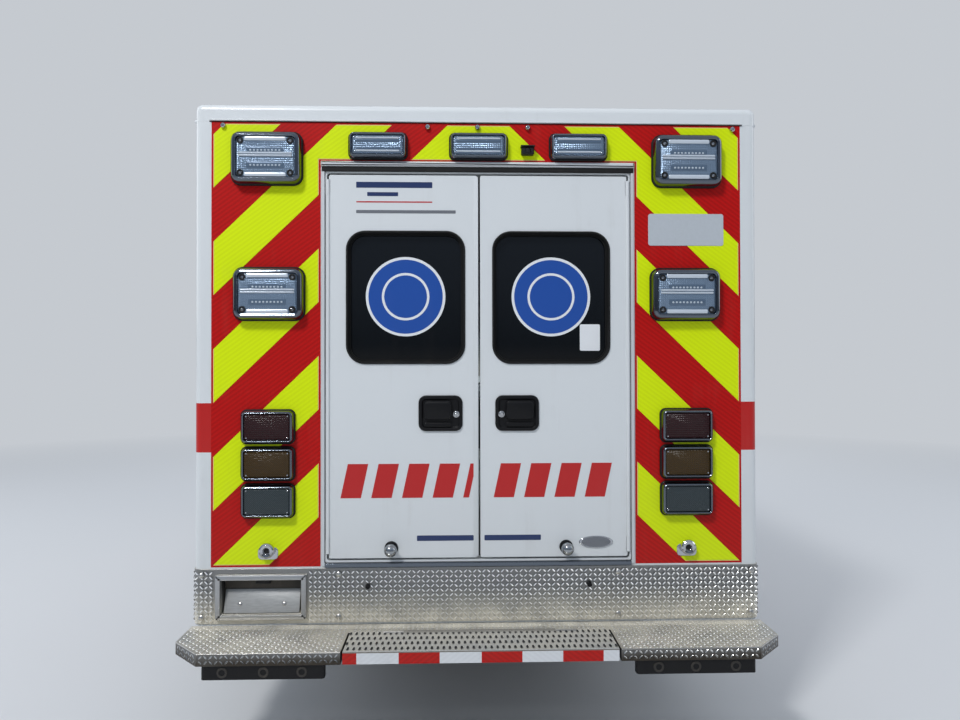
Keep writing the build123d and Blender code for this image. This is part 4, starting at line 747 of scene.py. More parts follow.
# Dashboard. Grained grey plastic over the engine cover, with a hooded instrument panel, a blank
# screen, four air vents, a glove box lid, and a steering wheel with a padded centre.
DASH_FACE = shift(0, 2.132, 1.175) @ spin(radians(-36.4), "X") @ OUTWARD["rear"].to_4x4()
LOWER_FACE = shift(0, 2.110, 1.088) @ spin(radians(15), "X") @ OUTWARD["rear"].to_4x4()
DRIVER_X = -0.600
WHEEL_AT = (DRIVER_X, 1.955, 1.190)
WHEEL_TILT = radians(35)
DIALS_X = (-0.085, 0.0, 0.085)
TICK_COUNT = 9
VENTS_X = (-0.86, -0.20, 0.20, 0.86)
dash_plastic = coat(
    "dash_plastic", (0.060, 0.061, 0.065), 0.6, dirt=0.05, grain=600, depth=0.35, edge=0.004, mottle=0.15
)
floor_vinyl = coat(
    "floor_vinyl", (0.13, 0.14, 0.15), 0.45, dirt=0.20, reach=2.0, grain=420, depth=0.25, edge=0.0,
    mottle=0.35,
)
finish_nodes(dash_plastic, "dashboard")
finish_nodes(floor_vinyl, "module_floor")
hood = plate(0.360, 0.108, 0.045, [(0, 0.024), (0.006, 0.006), (0.010, 0.0), (0.008, -0.014)], corner=8)
dial = turned([(0, 0.004), (0.030, 0.004), (0.034, 0.008), (0.037, 0.008), (0.038, 0.004)], 40)
pointer = plate(0.003, 0.028, 0, [(0, 0.0075)])
tick = plate(0.0015, 0.006, 0, [(0, 0.0055)])
dials = [DASH_FACE @ shift(DRIVER_X + x, 0, 0.014) for x in DIALS_X]
ticks = [
    at_dial @ spin(radians(-120 + 30 * k)) @ shift(0, 0.026) for at_dial in dials for k in range(TICK_COUNT)
]
pointers = [at_dial @ spin(radians(70)) @ shift(0, 0.008) for at_dial in dials]
screen = plate(0.200, 0.100, 0.008, [(0, 0.008), (0.003, 0.003), (0.006, -0.001)])
vent = plate(0.105, 0.052, 0.010, [(0, 0.006), (0.003, 0.002), (0.005, -0.010)])
slat = plate(0.086, 0.003, 0, [(0, 0.007)])
vents = [DASH_FACE @ shift(x, -0.005) for x in VENTS_X]
slats = [at_vent @ shift(0, -0.015 + 0.0075 * k) for at_vent in vents for k in range(5)]
lid = plate(0.360, 0.090, 0.012, [(0, 0.004), (0.004, 0.003), (0.010, 0.001)])
knob = turned([(0, 0.016), (0.010, 0.015), (0.013, 0.010), (0.014, 0)], 20)
knobs = [LOWER_FACE @ shift(x, 0, 0.004) for x in (-0.07, 0, 0.07)]
assemble("dash_fittings", [
    (hood, DASH_FACE @ shift(DRIVER_X), black_plastic), (dial, dials, chrome),
    (pointer, pointers, amber_plastic), (tick, ticks, white_paint),
    (screen, DASH_FACE @ shift(0, 0.004), black_plastic), (vent, vents, black_plastic),
    (slat, slats, dash_plastic), (lid, DASH_FACE @ shift(0.545), dash_plastic),
    (knob, knobs, black_plastic),
])
wheel_turn = shift(*WHEEL_AT) @ spin(pi / 2 - WHEEL_TILT, "X")
centre_pad = turned([
    (0, 0.020), (0.040, 0.018), (0.060, 0.012), (0.070, 0.002), (0.070, -0.010), (0, -0.012),
], 40)
assemble("wheel_pad", [(centre_pad, wheel_turn, dash_plastic)], "steering_wheel")

# Module box. Welded aluminium sheet over square posts, painted white, with a red band round its
# sides and corner posts. The lockers and wheel wells inside it are bare sheet.
roof_low, roof_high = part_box("module_roof")
HALF_W = roof_high[0]
REAR_Y = roof_low[1]
FRONT_Y = roof_high[1]
ROOF_Z = roof_high[2]
BAND_Z = (1.240, 1.440)
body_paint = striped("body_paint", *BAND_Z, HALF_W - 0.020, REAR_Y + 0.010)
sheet_aluminium = coat(
    "sheet_aluminium", (0.56, 0.57, 0.58), 0.36, 1, dirt=0.45, reach=1.1, grain=(14, 220, 220), depth=0.12,
    mottle=0.12,
)
bright_trim = coat(
    "bright_trim", (0.74, 0.75, 0.76), 0.26, 1, dirt=0.10, reach=1.0, grain=(220, 220, 9), depth=0.05,
    mottle=0.06,
)
pale_trim = coat(
    "pale_trim", (0.66, 0.68, 0.70), 0.42, 0.3, dirt=0.12, reach=1.0, grain=(220, 220, 9), depth=0.05,
    edge=0.001,
)
LOCKERS = [
    ("left", "front"), ("left", "middle"), ("left", "rear"), ("right", "front"), ("right", "rear"),
]
finish_nodes(body_paint, "module_left_wall", "module_right_wall", "side_door")
finish_nodes(body_paint, *(f"{hand}_{where}_locker_door" for hand, where in LOCKERS))
finish_nodes(
    white_paint, "module_rear_wall", "module_front_wall", "module_roof", "left_rear_door", "right_rear_door"
)
finish_nodes(sheet_aluminium, "lockers", "wheel_wells")
finish_nodes(tinted_glass, "left_rear_window", "right_rear_window", "side_door_window")

# Locker doors and the side door. Each has a rubber seal in its gap, a hinge down its front edge
# and a stainless folding latch in a dish, and a drip rail is riveted over it.
SEAL_W = 0.007
DOOR_SEAL = [(0, 0.002), (0.0015, 0.001), (SEAL_W - 0.001, -0.001)]
LATCH_Z = 1.12
TALL_DOOR = 0.9


def latch():
    """Parts of a stainless paddle latch about its middle: dish, paddle and lock barrel."""
    dish = plate(
        0.134, 0.098, 0.022, [(0, 0.0015), (0.002, 0.001), (0.010, 0.0005), (0.003, -0.0015)], corner=6
    )
    paddle = plate(0.084, 0.052, 0.012, [(0, 0.009), (0.002, 0.002), (0.004, 0.0005)], corner=5)
    barrel = turned(
        [(0, 0.006), (0.008, 0.006), (0.009, 0.005), (0.009, 0.001), (0.011, 0.001), (0.011, 0)], 20
    )
    return [
        (dish, shift(), bright_trim), (paddle, shift(0, 0.008, 0.001), chrome),
        (barrel, shift(0, -0.034, 0.001), chrome),
    ]


for hand, where in LOCKERS + [("right", "side_door")]:
    node = "side_door" if where == "side_door" else f"{hand}_{where}_locker_door"
    low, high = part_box(node)
    middle = (low + high) / 2
    across, tall = high.y - low.y, high.z - low.z
    side = 1 if hand == "right" else -1
    at_door = on(hand, side * HALF_W, middle.y, middle.z)
    seal = plate(across + 2 * SEAL_W, tall + 2 * SEAL_W, 0.012, DOOR_SEAL, True)
    assemble(f"{node}_seal", [(seal, at_door, black_rubber)])
    rail = plate(across + 0.08, 0.016, 0.003, [(0, 0.014), (0.002, 0.003)])
    lip = plate(across + 0.08, 0.005, 0.001, [(0, 0.020), (0.001, 0.001)])
    rail_at = at_door @ shift(0, tall / 2 + 0.026)
    assemble(f"{node}_drip_rail", [
        (rail, rail_at, bright_trim), (lip, rail_at @ shift(0, 0.008), bright_trim),
    ])
    latch_up = min(0.0, LATCH_Z - middle.z) if tall > TALL_DOOR else 0
    latch_at = at_door @ shift(-side * (across / 2 - 0.105), latch_up)
    hinge = plate(0.014, tall - 0.012, 0.004, [(0, 0.002), (0.003, 0.003), (0.003, 0.0005)])
    parts = [(part, latch_at @ place, finish) for part, place, finish in latch()]
    parts.append((hinge, at_door @ shift(side * (across / 2 - 0.008)), bright_trim))
    assemble(f"{node}_latch", parts, node)

# Window seals. A soft black rubber extrusion is pressed round each fixed pane of the box, with a
# raised lip outside and a long tongue that runs back into the door. The side door has the first.
low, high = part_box("side_door_window")
middle = (low + high) / 2
WINDOW_SEAL = [(0, 0.003), (0.001, 0.002), (0.006, 0.0), (0.003, -0.008), (0.002, -0.019)]
seal = plate(high.y - low.y + 0.014, high.z - low.z + 0.014, 0.078, WINDOW_SEAL, True, corner=10)
seal_at = on("right", HALF_W, middle.y, middle.z)
assemble("side_window_seal", [(seal, seal_at, black_rubber)], "side_door")

# Body extrusions. A drip rail under the roof's edge on each side and over the cab, a rub rail along
# the skirt between the wheel and each end, and small marker lamps at the corners.
BODY_L = FRONT_Y - REAR_Y
RAIL = ((0, 0.010), (0.002, 0.003), (0.002, 0.001))
RAIL_Z = ROOF_Z - 0.062
RUB_RAIL_Z = 0.562
WHEEL_GAP = 0.500
MARKERS = ((REAR_Y + 0.130, "red"), (FRONT_Y - 0.120, "amber"))
MARKER_Z = ROOF_Z - 0.105
marker_glass = {
    tint: coat(f"marker_{tint}", colour, 0.2, dirt=0.05, grain=300, depth=0.2, edge=0.001)
    for tint, colour in (("amber", (0.45, 0.16, 0.01)), ("red", (0.28, 0.008, 0.008)))
}
for hand, side in HANDS:
    long_rail = plate(BODY_L - 0.080, 0.012, 0.003, RAIL)
    parts = [(long_rail, on(hand, side * HALF_W, (FRONT_Y + REAR_Y) / 2, RAIL_Z), white_paint)]
    runs = ((REAR_Y + 0.065, REAR_AXLE_Y - WHEEL_GAP), (REAR_AXLE_Y + WHEEL_GAP, FRONT_Y - 0.040))
    for start, end in runs:
        rub = plate(end - start, 0.022, 0.004, RAIL)
        parts.append((rub, on(hand, side * HALF_W, (start + end) / 2, RUB_RAIL_Z), bright_trim))
    case = plate(0.098, 0.038, 0.012, [(0, 0.006), (0.002, 0.002), (0.004, 0.0)])
    cover = plate(0.082, 0.024, 0.009, [(0, 0.013), (0.004, 0.004)])
    for y, tint in MARKERS:
        place = on(hand, side * HALF_W, y, MARKER_Z)
        parts += [(case, place, chrome), (cover, place, marker_glass[tint])]
    assemble(f"{hand}_body_extrusions", parts)
front_rail = plate(2 * HALF_W - 0.080, 0.012, 0.003, RAIL)
parts = [(front_rail, on("front", 0, FRONT_Y, RAIL_Z), white_paint)]
assemble("front_drip_rail", parts)

# Grab bar. A stainless tube, bent at both ends and welded to two round feet, is screwed upright to
# the wall behind the side door, for climbing in.
TUBE_R = 0.013
TUBE_LEG = 0.034
TUBE_BEND_R = 0.026


def only(kind, geometry):
    """The items of one kind from what a bmesh operator gives back."""
    return [item for item in geometry if isinstance(item, kind)]


def grab_bar(name, face, x, y, z, length, flip=False):
    """A stainless tube that stands off a wall on two round feet."""
    tube = bmesh.new()
    bmesh.ops.create_circle(tube, segments=16, radius=TUBE_R)
    grown = bmesh.ops.extrude_edge_only(tube, edges=list(tube.edges))["geom"]
    bmesh.ops.translate(tube, vec=(0, 0, TUBE_LEG), verts=only(bmesh.types.BMVert, grown))
    bend = only((bmesh.types.BMVert, bmesh.types.BMEdge), grown)
    bmesh.ops.spin(
        tube, geom=bend, cent=(0, TUBE_BEND_R, TUBE_LEG), axis=(-1, 0, 0), angle=pi / 2, steps=7,
        use_duplicate=False,
    )
    end = [edge for edge in tube.edges if edge.is_boundary and edge.verts[0].co.z > TUBE_LEG + 0.006]
    grown = bmesh.ops.extrude_edge_only(tube, edges=end)["geom"]
    half_run = (0, length / 2 - TUBE_BEND_R, 0)
    bmesh.ops.translate(tube, vec=half_run, verts=only(bmesh.types.BMVert, grown))
    foot = turned([
        (TUBE_R, 0.010), (0.018, 0.006), (0.030, 0.005), (0.032, 0.003), (0.032, 0), (TUBE_R, 0),
    ], 28)
    place = on(face, x, y, z) @ spin(pi if flip else 0, "Y")
    ends = [place @ shift(0, -length / 2), place @ spin(pi) @ shift(0, -length / 2)]
    parts = [(tube, ends, bright_trim), (foot, ends, bright_trim)]
    assemble(name, parts)


side_bar_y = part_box("side_door")[0].y - 0.075
grab_bar("side_door_grab_bar", "right", HALF_W, side_bar_y, 1.35, 0.46)

# Fuel filler. A round cap with a grip bar, moulded in black plastic, sits in a dished bezel that is
# pressed into the wall above the left rear wheel.
filler = turned([
    (0, 0.016), (0.036, 0.016), (0.041, 0.012), (0.041, 0.004), (0.056, 0.003), (0.060, 0.006),
    (0.066, 0.004), (0.067, 0),
], 48)
tab = plate(0.058, 0.012, 0.004, [(0, 0.006), (0.002, 0.002)])
filler_at = on("left", -HALF_W, REAR_AXLE_Y + 0.17, 0.98)
assemble("fuel_filler", [
    (filler, filler_at, black_plastic), (tab, filler_at @ shift(0, 0, 0.015), black_plastic),
])

# Inside the box. A squad bench with a vinyl pad in three sewn sections, round ceiling lamps in
# bright rings, and a stainless grab rail over the aisle.
bench_low, bench_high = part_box("bench_cushion")
bench_mid = (bench_low + bench_high) / 2
bench_size = bench_high - bench_low
third = bench_size.y / 3
forms = [
    (foam(bench_size.x - 0.026, third - 0.012, bench_size.z - 0.020, 0.020),
     shift(*bench_mid) @ shift(0, third * k, -0.002))
    for k in (-1, 0, 1)
]
seams = [(0, bench_mid.x + x, 0.007, 0.0045) for x in (-0.09, 0.09)]
bench_pad = stuffed("bench_pad", forms, 0.007, seams, bench_vinyl)
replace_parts(bench_pad, "bench_cushion")
CEILING_Z = roof_low[2]
CEILING_LAMPS_X = (-0.45, 0.45)
CEILING_LAMPS_Y = (-2.45, -1.55, -0.65, 0.25)
ring = turned([(0.060, 0.004), (0.066, 0.012), (0.076, 0.012), (0.082, 0.004), (0.082, 0)], 40)
cover = turned([(0, 0.012), (0.045, 0.010), (0.064, 0.004), (0.064, 0)], 40)
lamps_up = [shift(x, y, CEILING_Z) @ spin(pi, "X") for x in CEILING_LAMPS_X for y in CEILING_LAMPS_Y]
milk_plastic = coat("milk_plastic", (0.75, 0.76, 0.76), 0.35, dirt=0.04, depth=0.02, edge=0.0)
assemble("ceiling_lamps", [(ring, lamps_up, chrome), (cover, lamps_up, milk_plastic)])
grab_bar("ceiling_grab_rail", "top", 0.0, -1.0, CEILING_Z, 2.2, flip=True)

# Warning and tail lamps. A rubber gasket, a deep chromed flange and a moulded lens over a chromed
# reflector, held by four screws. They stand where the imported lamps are, and replace them.


def lens_plastic(name, colour, metallic, pitch, strength):
    """A clear moulding with rows of little prisms, dark because the lamp is off."""
    finish = bpy.data.materials.new(name)
    finish.use_nodes = True
    finish.diffuse_color = (*colour, 1)
    tree = finish.node_tree
    shader = tree.nodes["Principled BSDF"]
    place = axes(tree)
    ribs = wave(tree, calc(tree, "ADD", place[0], place[1]), pitch)
    rows = wave(tree, place[2], pitch)
    both = calc(tree, "MULTIPLY_ADD", calc(tree, "MULTIPLY", ribs, rows), 0.5, 0.5)
    shade = tuple(channel * 0.55 for channel in colour)
    tree.links.new(blended(tree, both, (*shade, 1), (*colour, 1)), shader.inputs["Base Color"])
    prisms = calc(tree, "ADD", ribs, rows)
    bump = wire(tree, "Bump", {"Strength": strength, "Distance": 0.002, "Height": prisms})
    tree.links.new(bump.outputs[0], shader.inputs["Normal"])
    gloss = {"Metallic": metallic, "Roughness": 0.20, "Specular IOR Level": 0.3, "Coat Weight": 0.12}
    for key, value in gloss.items():
        shader.inputs[key].default_value = value
    return finish


# The clear lenses are coloured sky blue and part metallic: a painted reflection of the sky, not a tint of the
# plastic.
clear_lens_painted_sky = lens_plastic("clear_lens_painted_sky", (0.24, 0.33, 0.45), 0.45, 0.0075, 0.35)
red_lens = lens_plastic("red_lens", (0.028, 0.002, 0.003), 0.0, 0.0080, 0.45)
amber_lens = lens_plastic("amber_lens", (0.062, 0.032, 0.003), 0.0, 0.0080, 0.45)
dark_lens = lens_plastic("dark_lens", (0.045, 0.060, 0.066), 0.0, 0.0080, 0.3)
reflector = coat("reflector", (0.62, 0.68, 0.75), 0.18, 0.25, dirt=0.0, depth=0.0, edge=0.001)
row_shade = coat("row_shade", (0.11, 0.16, 0.23), 0.25, 0.3, dirt=0.0, depth=0.0, edge=0.0)
diode = coat("diode", (0.58, 0.66, 0.74), 0.10, 0.3, dirt=0.0, depth=0.0, edge=0.0, Coat_Weight=1.0)
BIG_LAMP_W = 0.26
BIG_LAMP = (0.027, 0.037, 0.018)
SMALL_LAMP = (0.0150, 0.021, 0.010)
LENS_SHARE = 0.88
DIODE_ROWS = (0.120, -0.165)
DIODE_COUNT = 9
DIODE_PITCH = 0.0145
SIDE_LAMP_H = 0.036
TAIL_BELOW_Z = 1.4
WALL_REACH = 0.02


def on_rear(x, z, y=REAR_Y):
    """A place on the rear wall, or on another face that looks to the rear at y."""
    return on("rear", x, y, z)


def solids_of(node):
    """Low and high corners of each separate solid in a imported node."""
    bm = bmesh.new()
    bm.from_mesh(node.data)
    bmesh.ops.remove_doubles(bm, verts=bm.verts, dist=1e-5)
    left = set(bm.verts)
    boxes = []
    while left:
        found = {left.pop()}
        newest = set(found)
        while newest:
            newest = {vert for near in newest for edge in near.link_edges for vert in edge.verts} & left
            left -= newest
            found |= newest
        spots = [vert.co for vert in found]
        boxes.append([Vector([pick(spot[i] for spot in spots) for i in range(3)]) for pick in (min, max)])
    bm.free()
    return sorted(boxes, key=lambda box: tuple(box[0]))


def lamp(place, width, height, depth, tint):
    """Parts of one lamp on a wall. The small ones have plain bars, the big ones also rows of diodes."""
    big = width > BIG_LAMP_W
    inset, corner_r, cover_r = BIG_LAMP if big else SMALL_LAMP
    gasket = plate(
        width + 0.008, height + 0.008, corner_r + 0.004, [(0, 0.010), (0.003, 0.003), (0.006, 0)], corner=8
    )
    flange = plate(width, height, corner_r, [
        (0, 0.008), (inset * 0.20, depth - 0.016), (inset * 0.22, 0.006), (inset * 0.24, 0.002),
        (inset * 0.18, -0.002), (inset * 0.05, -0.008),
    ], True, corner=8)
    cover_w, cover_h = width - 2 * inset * LENS_SHARE, height - 2 * inset * LENS_SHARE
    cover = plate(
        cover_w, cover_h, cover_r, [(0, depth - 0.010), (0.003, 0.003), (0.006, 0.002)], corner=6
    )
    parts = [(gasket, place, black_rubber), (flange, place, lamp_chrome), (cover, place, tint)]
    front = depth - 0.005

    def corners(in_x, in_y, rise):
        half_w, half_h = cover_w / 2 - in_x, cover_h / 2 - in_y
        return [place @ shift(u * half_w, v * half_h, rise) for u in SIDES for v in SIDES]

    def levels(*heights):
        return [place @ shift(0, height, front) for height in heights]

    if not big:
        small = turned([(0, 0.002), (0.0025, 0.002), (0.0035, 0)], 10)
        parts.append((small, corners(0.010, 0.010, front - 0.001), chrome))
        if tint is clear_lens_painted_sky:
            bar = plate(cover_w - 0.030, 0.0065, 0.003, [(0, 0.002), (0.002, 0.0016)])
            band = plate(cover_w - 0.026, cover_h * 0.12, 0.003, [(0, 0.0010), (0.001, 0.0004)])
            parts.append((bar, levels(0.33 * cover_h, -0.33 * cover_h), reflector))
            parts.append((band, levels(0.20 * cover_h, -0.20 * cover_h), row_shade))
        return parts
    screw = turned([(0, 0.0032), (0.0042, 0.003), (0.006, 0.0012), (0.006, 0)], 12)
    well = turned([
        (0.0065, 0.0006), (0.009, 0.0034), (0.0125, 0.0034), (0.014, 0.001), (0.014, -0.001),
        (0.0065, -0.001),
    ], 20)
    spots = corners(0.018, 0.017, front)
    double = plate(cover_w - 0.020, 0.0075, 0.003, [(0, 0.003), (0.0022, 0.0022)])
    ledge = plate(cover_w - 0.070, 0.016, 0.004, [(0, 0.003), (0.004, 0.0025)])
    behind = plate(0.150, 0.026, 0.006, [(0, 0.0006), (0.002, 0.0006)])
    light = plate(0.0085, 0.0075, 0.0032, [(0, 0.0022), (0.0022, 0.0018)], corner=3)
    middle = (DIODE_COUNT - 1) / 2
    lights = [
        place @ shift((i - middle) * DIODE_PITCH, v * height, front)
        for i in range(DIODE_COUNT) for v in DIODE_ROWS
    ]
    return parts + [
        (behind, levels(*(v * height for v in DIODE_ROWS)), row_shade),
        (well, spots, black_plastic), (screw, spots, chrome),
        (double, levels(0.004, 0.0145), reflector),
        (ledge, levels(*(v * (cover_h / 2 - 0.010) for v in SIDES)), reflector),
        (light, lights, diode),
    ]


lamp_parts = {"rear": [], "front": [], "left": [], "right": []}
tail_parts = []
tail_tints = (dark_lens, amber_lens, red_lens)
boxes = solids_of(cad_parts["module_lamps"])
tail_heights = sorted({
    round(low.z, 3) for low, high in boxes if high.y < REAR_Y + WALL_REACH and low.z < TAIL_BELOW_Z
})
for low, high in boxes:
    middle = (low + high) / 2
    across, deep, tall = high - low
    if high.y < REAR_Y + WALL_REACH:
        in_stack = low.z < TAIL_BELOW_Z
        tint = tail_tints[tail_heights.index(round(low.z, 3))] if in_stack else clear_lens_painted_sky
        made = lamp(on_rear(middle.x, middle.z), across, tall, REAR_Y - low.y, tint)
        (tail_parts if in_stack else lamp_parts["rear"]).extend(made)
    elif low.y > FRONT_Y - WALL_REACH:
        place = on("front", middle.x, FRONT_Y, middle.z)
        lamp_parts["front"].extend(lamp(place, across, tall, high.y - FRONT_Y, clear_lens_painted_sky))
    else:
        hand, side = HANDS[middle.x > 0]
        stand = min(max(high.x, -low.x) - HALF_W, SIDE_LAMP_H)
        place = on(hand, side * HALF_W, middle.y, middle.z)
        lamp_parts[hand].extend(lamp(place, deep, tall, stand, clear_lens_painted_sky))
for face, parts in lamp_parts.items():
    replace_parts(assemble(f"{face}_warning_lamps", parts), "module_lamps")
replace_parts(assemble("tail_lamps", tail_parts), "module_lamps")

# Chevrons: yellow-green and red reflective film on the rear wall, beside and over the doors. The
# stripes climb towards the middle on both halves, and a red margin frames the yellow.
STRIPE_SLOPE = 0.966
STRIPE_PITCH = 0.438
STRIPE_W = 0.218
STRIPE_FROM = 0.581
STRIPE_EDGE_X = 1.062
STRIPE_RUNS = range(-4, 10)
PANEL_OUT = 1.087
PANEL_IN = 0.645
PANEL_Z = (0.775, 2.586)
PANEL_OVER_Z = 2.427
MARGIN = 0.011
EDGE_LINE = 0.003
FILM_T = 0.0005
RIB_SLOPE = 0.72
RIB_PITCH = 0.0190


def film(name, colour, line, painted_glow):
    """Reflective film with fine slanted ribs in it, each darker by the share line, and a faint painted glow,
    though the film is no lamp.
    """
    finish = coat(name, colour, 0.42, dirt=0.10, reach=1.4, depth=0.02, edge=0.0, Specular_IOR_Level=0.2)
    tree = finish.node_tree
    place = axes(tree)
    level = calc(tree, "MULTIPLY_ADD", calc(tree, "ABSOLUTE", place[0]), RIB_SLOPE, place[2])
    ribs = calc(tree, "MULTIPLY_ADD", wave(tree, level, RIB_PITCH), 0.5, 0.5)
    overlay(tree, ribs, tuple(channel * line for channel in colour))
    shader = tree.nodes["Principled BSDF"]
    shader.inputs["Emission Color"].default_value = (*colour, 1)
    shader.inputs["Emission Strength"].default_value = painted_glow
    return finish


film_red = film("film_red", (0.52, 0.004, 0.003), 0.78, 0.0)
film_yellow = film("film_yellow", (0.68, 0.84, 0.001), 0.93, 0.03)
film_edge = coat("film_edge", (0.80, 0.55, 0.22), 0.4, depth=0.0, edge=0.0)


def film_panel(bm, side, width, height, centre, lift, cut_in_stripes):
    """A flat patch of film; a striped one is cut along the slant and its red runs are taken out."""
    made = bmesh.ops.create_grid(bm, x_segments=1, y_segments=1, size=0.5)["verts"]
    bmesh.ops.scale(bm, vec=(width, height, 1), verts=made)
    bmesh.ops.rotate(bm, matrix=spin(pi / 2, "X").to_3x3(), verts=made)
    bmesh.ops.translate(bm, vec=(centre[0], REAR_Y - lift, centre[1]), verts=made)
    if not cut_in_stripes:
        return
    faces = list({face for vert in made for face in vert.link_faces})
    slant = Vector((-side * STRIPE_SLOPE, 0, 1))
    for k in STRIPE_RUNS:
        for start in (0, STRIPE_W):
            level = STRIPE_FROM + k * STRIPE_PITCH + start
            geometry = {item for face in faces for item in (face, *face.edges, *face.verts)}
            cut = bmesh.ops.bisect_plane(
                bm, geom=list(geometry), plane_co=(-side * STRIPE_EDGE_X, REAR_Y, level), plane_no=slant
            )
            faces = only(bmesh.types.BMFace, cut["geom"])
    between = []
    for face in faces:
        middle = face.calc_center_median()
        level = middle.z - STRIPE_SLOPE * (side * middle.x + STRIPE_EDGE_X) - STRIPE_FROM
        if level % STRIPE_PITCH > STRIPE_W:
            between.append(face)
    bmesh.ops.delete(bm, geom=between, context="FACES")


LAYERS = (
    (film_red, 0, FILM_T), (film_edge, MARGIN - EDGE_LINE, 2 * FILM_T), (film_yellow, MARGIN, 3 * FILM_T),
)
parts = []
for finish, inset, lift in LAYERS:
    bm = bmesh.new()
    for side in SIDES:
        width = PANEL_OUT - PANEL_IN - 2 * inset
        height = PANEL_Z[1] - PANEL_Z[0] - 2 * inset
        column = (-side * (PANEL_OUT + PANEL_IN) / 2, sum(PANEL_Z) / 2)
        film_panel(bm, side, width, height, column, lift, finish is not film_red)
        width = PANEL_IN + inset
        height = PANEL_Z[1] - PANEL_OVER_Z - 2 * inset
        over = (-side * width / 2, (PANEL_Z[1] + PANEL_OVER_Z) / 2)
        film_panel(bm, side, width, height, over, lift, finish is not film_red)
    bmesh.ops.remove_doubles(bm, verts=bm.verts, dist=1e-5)
    parts.append((bm, Matrix(), finish))
chevrons = assemble("chevrons", parts)
for face in chevrons.data.polygons:
    if face.normal.y > 0:
        face.flip()

# Doorway trim. A bright extrusion round the doorway with a black weather seal in its mouth, a rain
# gutter over it with a painted shadow under it, a sill in dark chrome as painted shade, and a thin
# border line round the whole rear wall with a painted shadow line under it.
DOORWAY_HALF = 0.627
DOORWAY_Z = (0.790, 2.388)
SILL_Z = 0.780
TRIM = [(0, 0.004), (0.002, 0.002), (0.010, 0), (0.002, -0.003)]
doorway_w = 2 * DOORWAY_HALF
doorway_h = DOORWAY_Z[1] - DOORWAY_Z[0]
wall_w = 2 * PANEL_OUT + 0.016
outer = plate(doorway_w + 0.030, doorway_h + 0.030, 0.012, TRIM, True)
mouth_w = DOORWAY_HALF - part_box("right_rear_door")[1].x - 0.001
mouth = plate(doorway_w + 0.004, doorway_h + 0.004, 0.008, [(0, 0.003), (mouth_w, 0), (0.001, -0.006)], True)
gutter = plate(doorway_w + 0.034, 0.021, 0.003, [(0, 0.010), (0.003, 0.004), (0.004, 0.001)])
# A black strip just under the gutter is its painted shadow.
gutter_shadow_strip = plate(doorway_w + 0.026, 0.020, 0.001, [(0, 0.007), (0.001, 0.001)])
# The sill strip under the doors takes the dark chrome as painted shade, for the shadow that falls there.
sill_in_painted_shade = plate(doorway_w, 0.018, 0.003, [(0, 0.010), (0.002, 0.003)])
bead = plate(wall_w, 0.006, 0.002, [(0, 0.007), (0.0015, 0.0015)])
# A black line just under the border bead is its painted shadow.
bead_shadow_line = plate(wall_w, 0.003, 0.001, [(0, 0.0025), (0.001, 0.0005)])
doorway_at = on_rear(0, sum(DOORWAY_Z) / 2)
assemble("doorway_trim", [
    (outer, doorway_at, pale_trim), (mouth, doorway_at, black_rubber),
    (gutter, on_rear(0, DOORWAY_Z[1] + 0.028), pale_trim),
    (gutter_shadow_strip, on_rear(0, DOORWAY_Z[1] + 0.007), black_rubber),
    (sill_in_painted_shade, on_rear(0, SILL_Z), lamp_chrome),
    (bead, on_rear(0, PANEL_Z[1] + 0.006), white_paint),
    (bead_shadow_line, on_rear(0, PANEL_Z[1] + 0.001), black_rubber),
])

# Rear wall fittings. Two stainless sockets that take the doors' hold-open balls, a small camera
# over the doors, five round marker studs and a blank sign plate are screwed to the wall.
EYE_X = 0.201
SIGN_AT = (0.859, 2.152)
SOCKET_AT = (0.857, 0.846)
STUDS_X = (-1.039, -0.209, -0.004, 0.203, 1.054)
STUD_Z = 2.569
camera_case = plate(0.052, 0.032, 0.007, [(0, 0.024), (0.004, 0.004)])
camera_eye = turned([(0, 0.010), (0.008, 0.009), (0.012, 0.005), (0.013, 0)], 24)
camera_hood = plate(0.058, 0.005, 0.002, [(0, 0.034), (0.001, 0.001)])
socket_foot = plate(0.082, 0.050, 0.016, [(0, 0.003), (0.002, 0.002)])
socket_cup = turned([
    (0.010, 0.026), (0.014, 0.034), (0.024, 0.036), (0.030, 0.031), (0.031, 0.020), (0.024, 0.006),
    (0.024, 0),
], 36)
socket_hole = turned([(0, 0.024), (0.012, 0.026), (0.012, 0.030)], 24)
stud = turned([(0, 0.016), (0.006, 0.0155), (0.010, 0.012), (0.0115, 0.006), (0.0115, 0)], 24)
sign_white = coat(
    "sign_white", (0.52, 0.56, 0.60), 0.35, dirt=0.1, reach=3.0, depth=0.03, edge=0.0, mottle=0.1
)
sign = plate(0.314, 0.132, 0.010, [(0, 0.002), (0.001, 0.001)])
sockets = [on_rear(side * SOCKET_AT[0], SOCKET_AT[1]) for side in SIDES]
studs = [on_rear(x, STUD_Z) for x in STUDS_X]
assemble("rear_wall_fittings", [
    (camera_case, on_rear(EYE_X, 2.470), black_plastic),
    (camera_eye, on_rear(EYE_X, 2.468, REAR_Y - 0.027), black_plastic),
    (camera_hood, on_rear(EYE_X, 2.488), black_plastic),
    (socket_foot, [place @ shift(0, -0.016) for place in sockets], chrome),
    (socket_cup, sockets, chrome), (socket_hole, sockets, black_plastic),
    (stud, studs, chrome), (sign, on_rear(*SIGN_AT), sign_white),
])

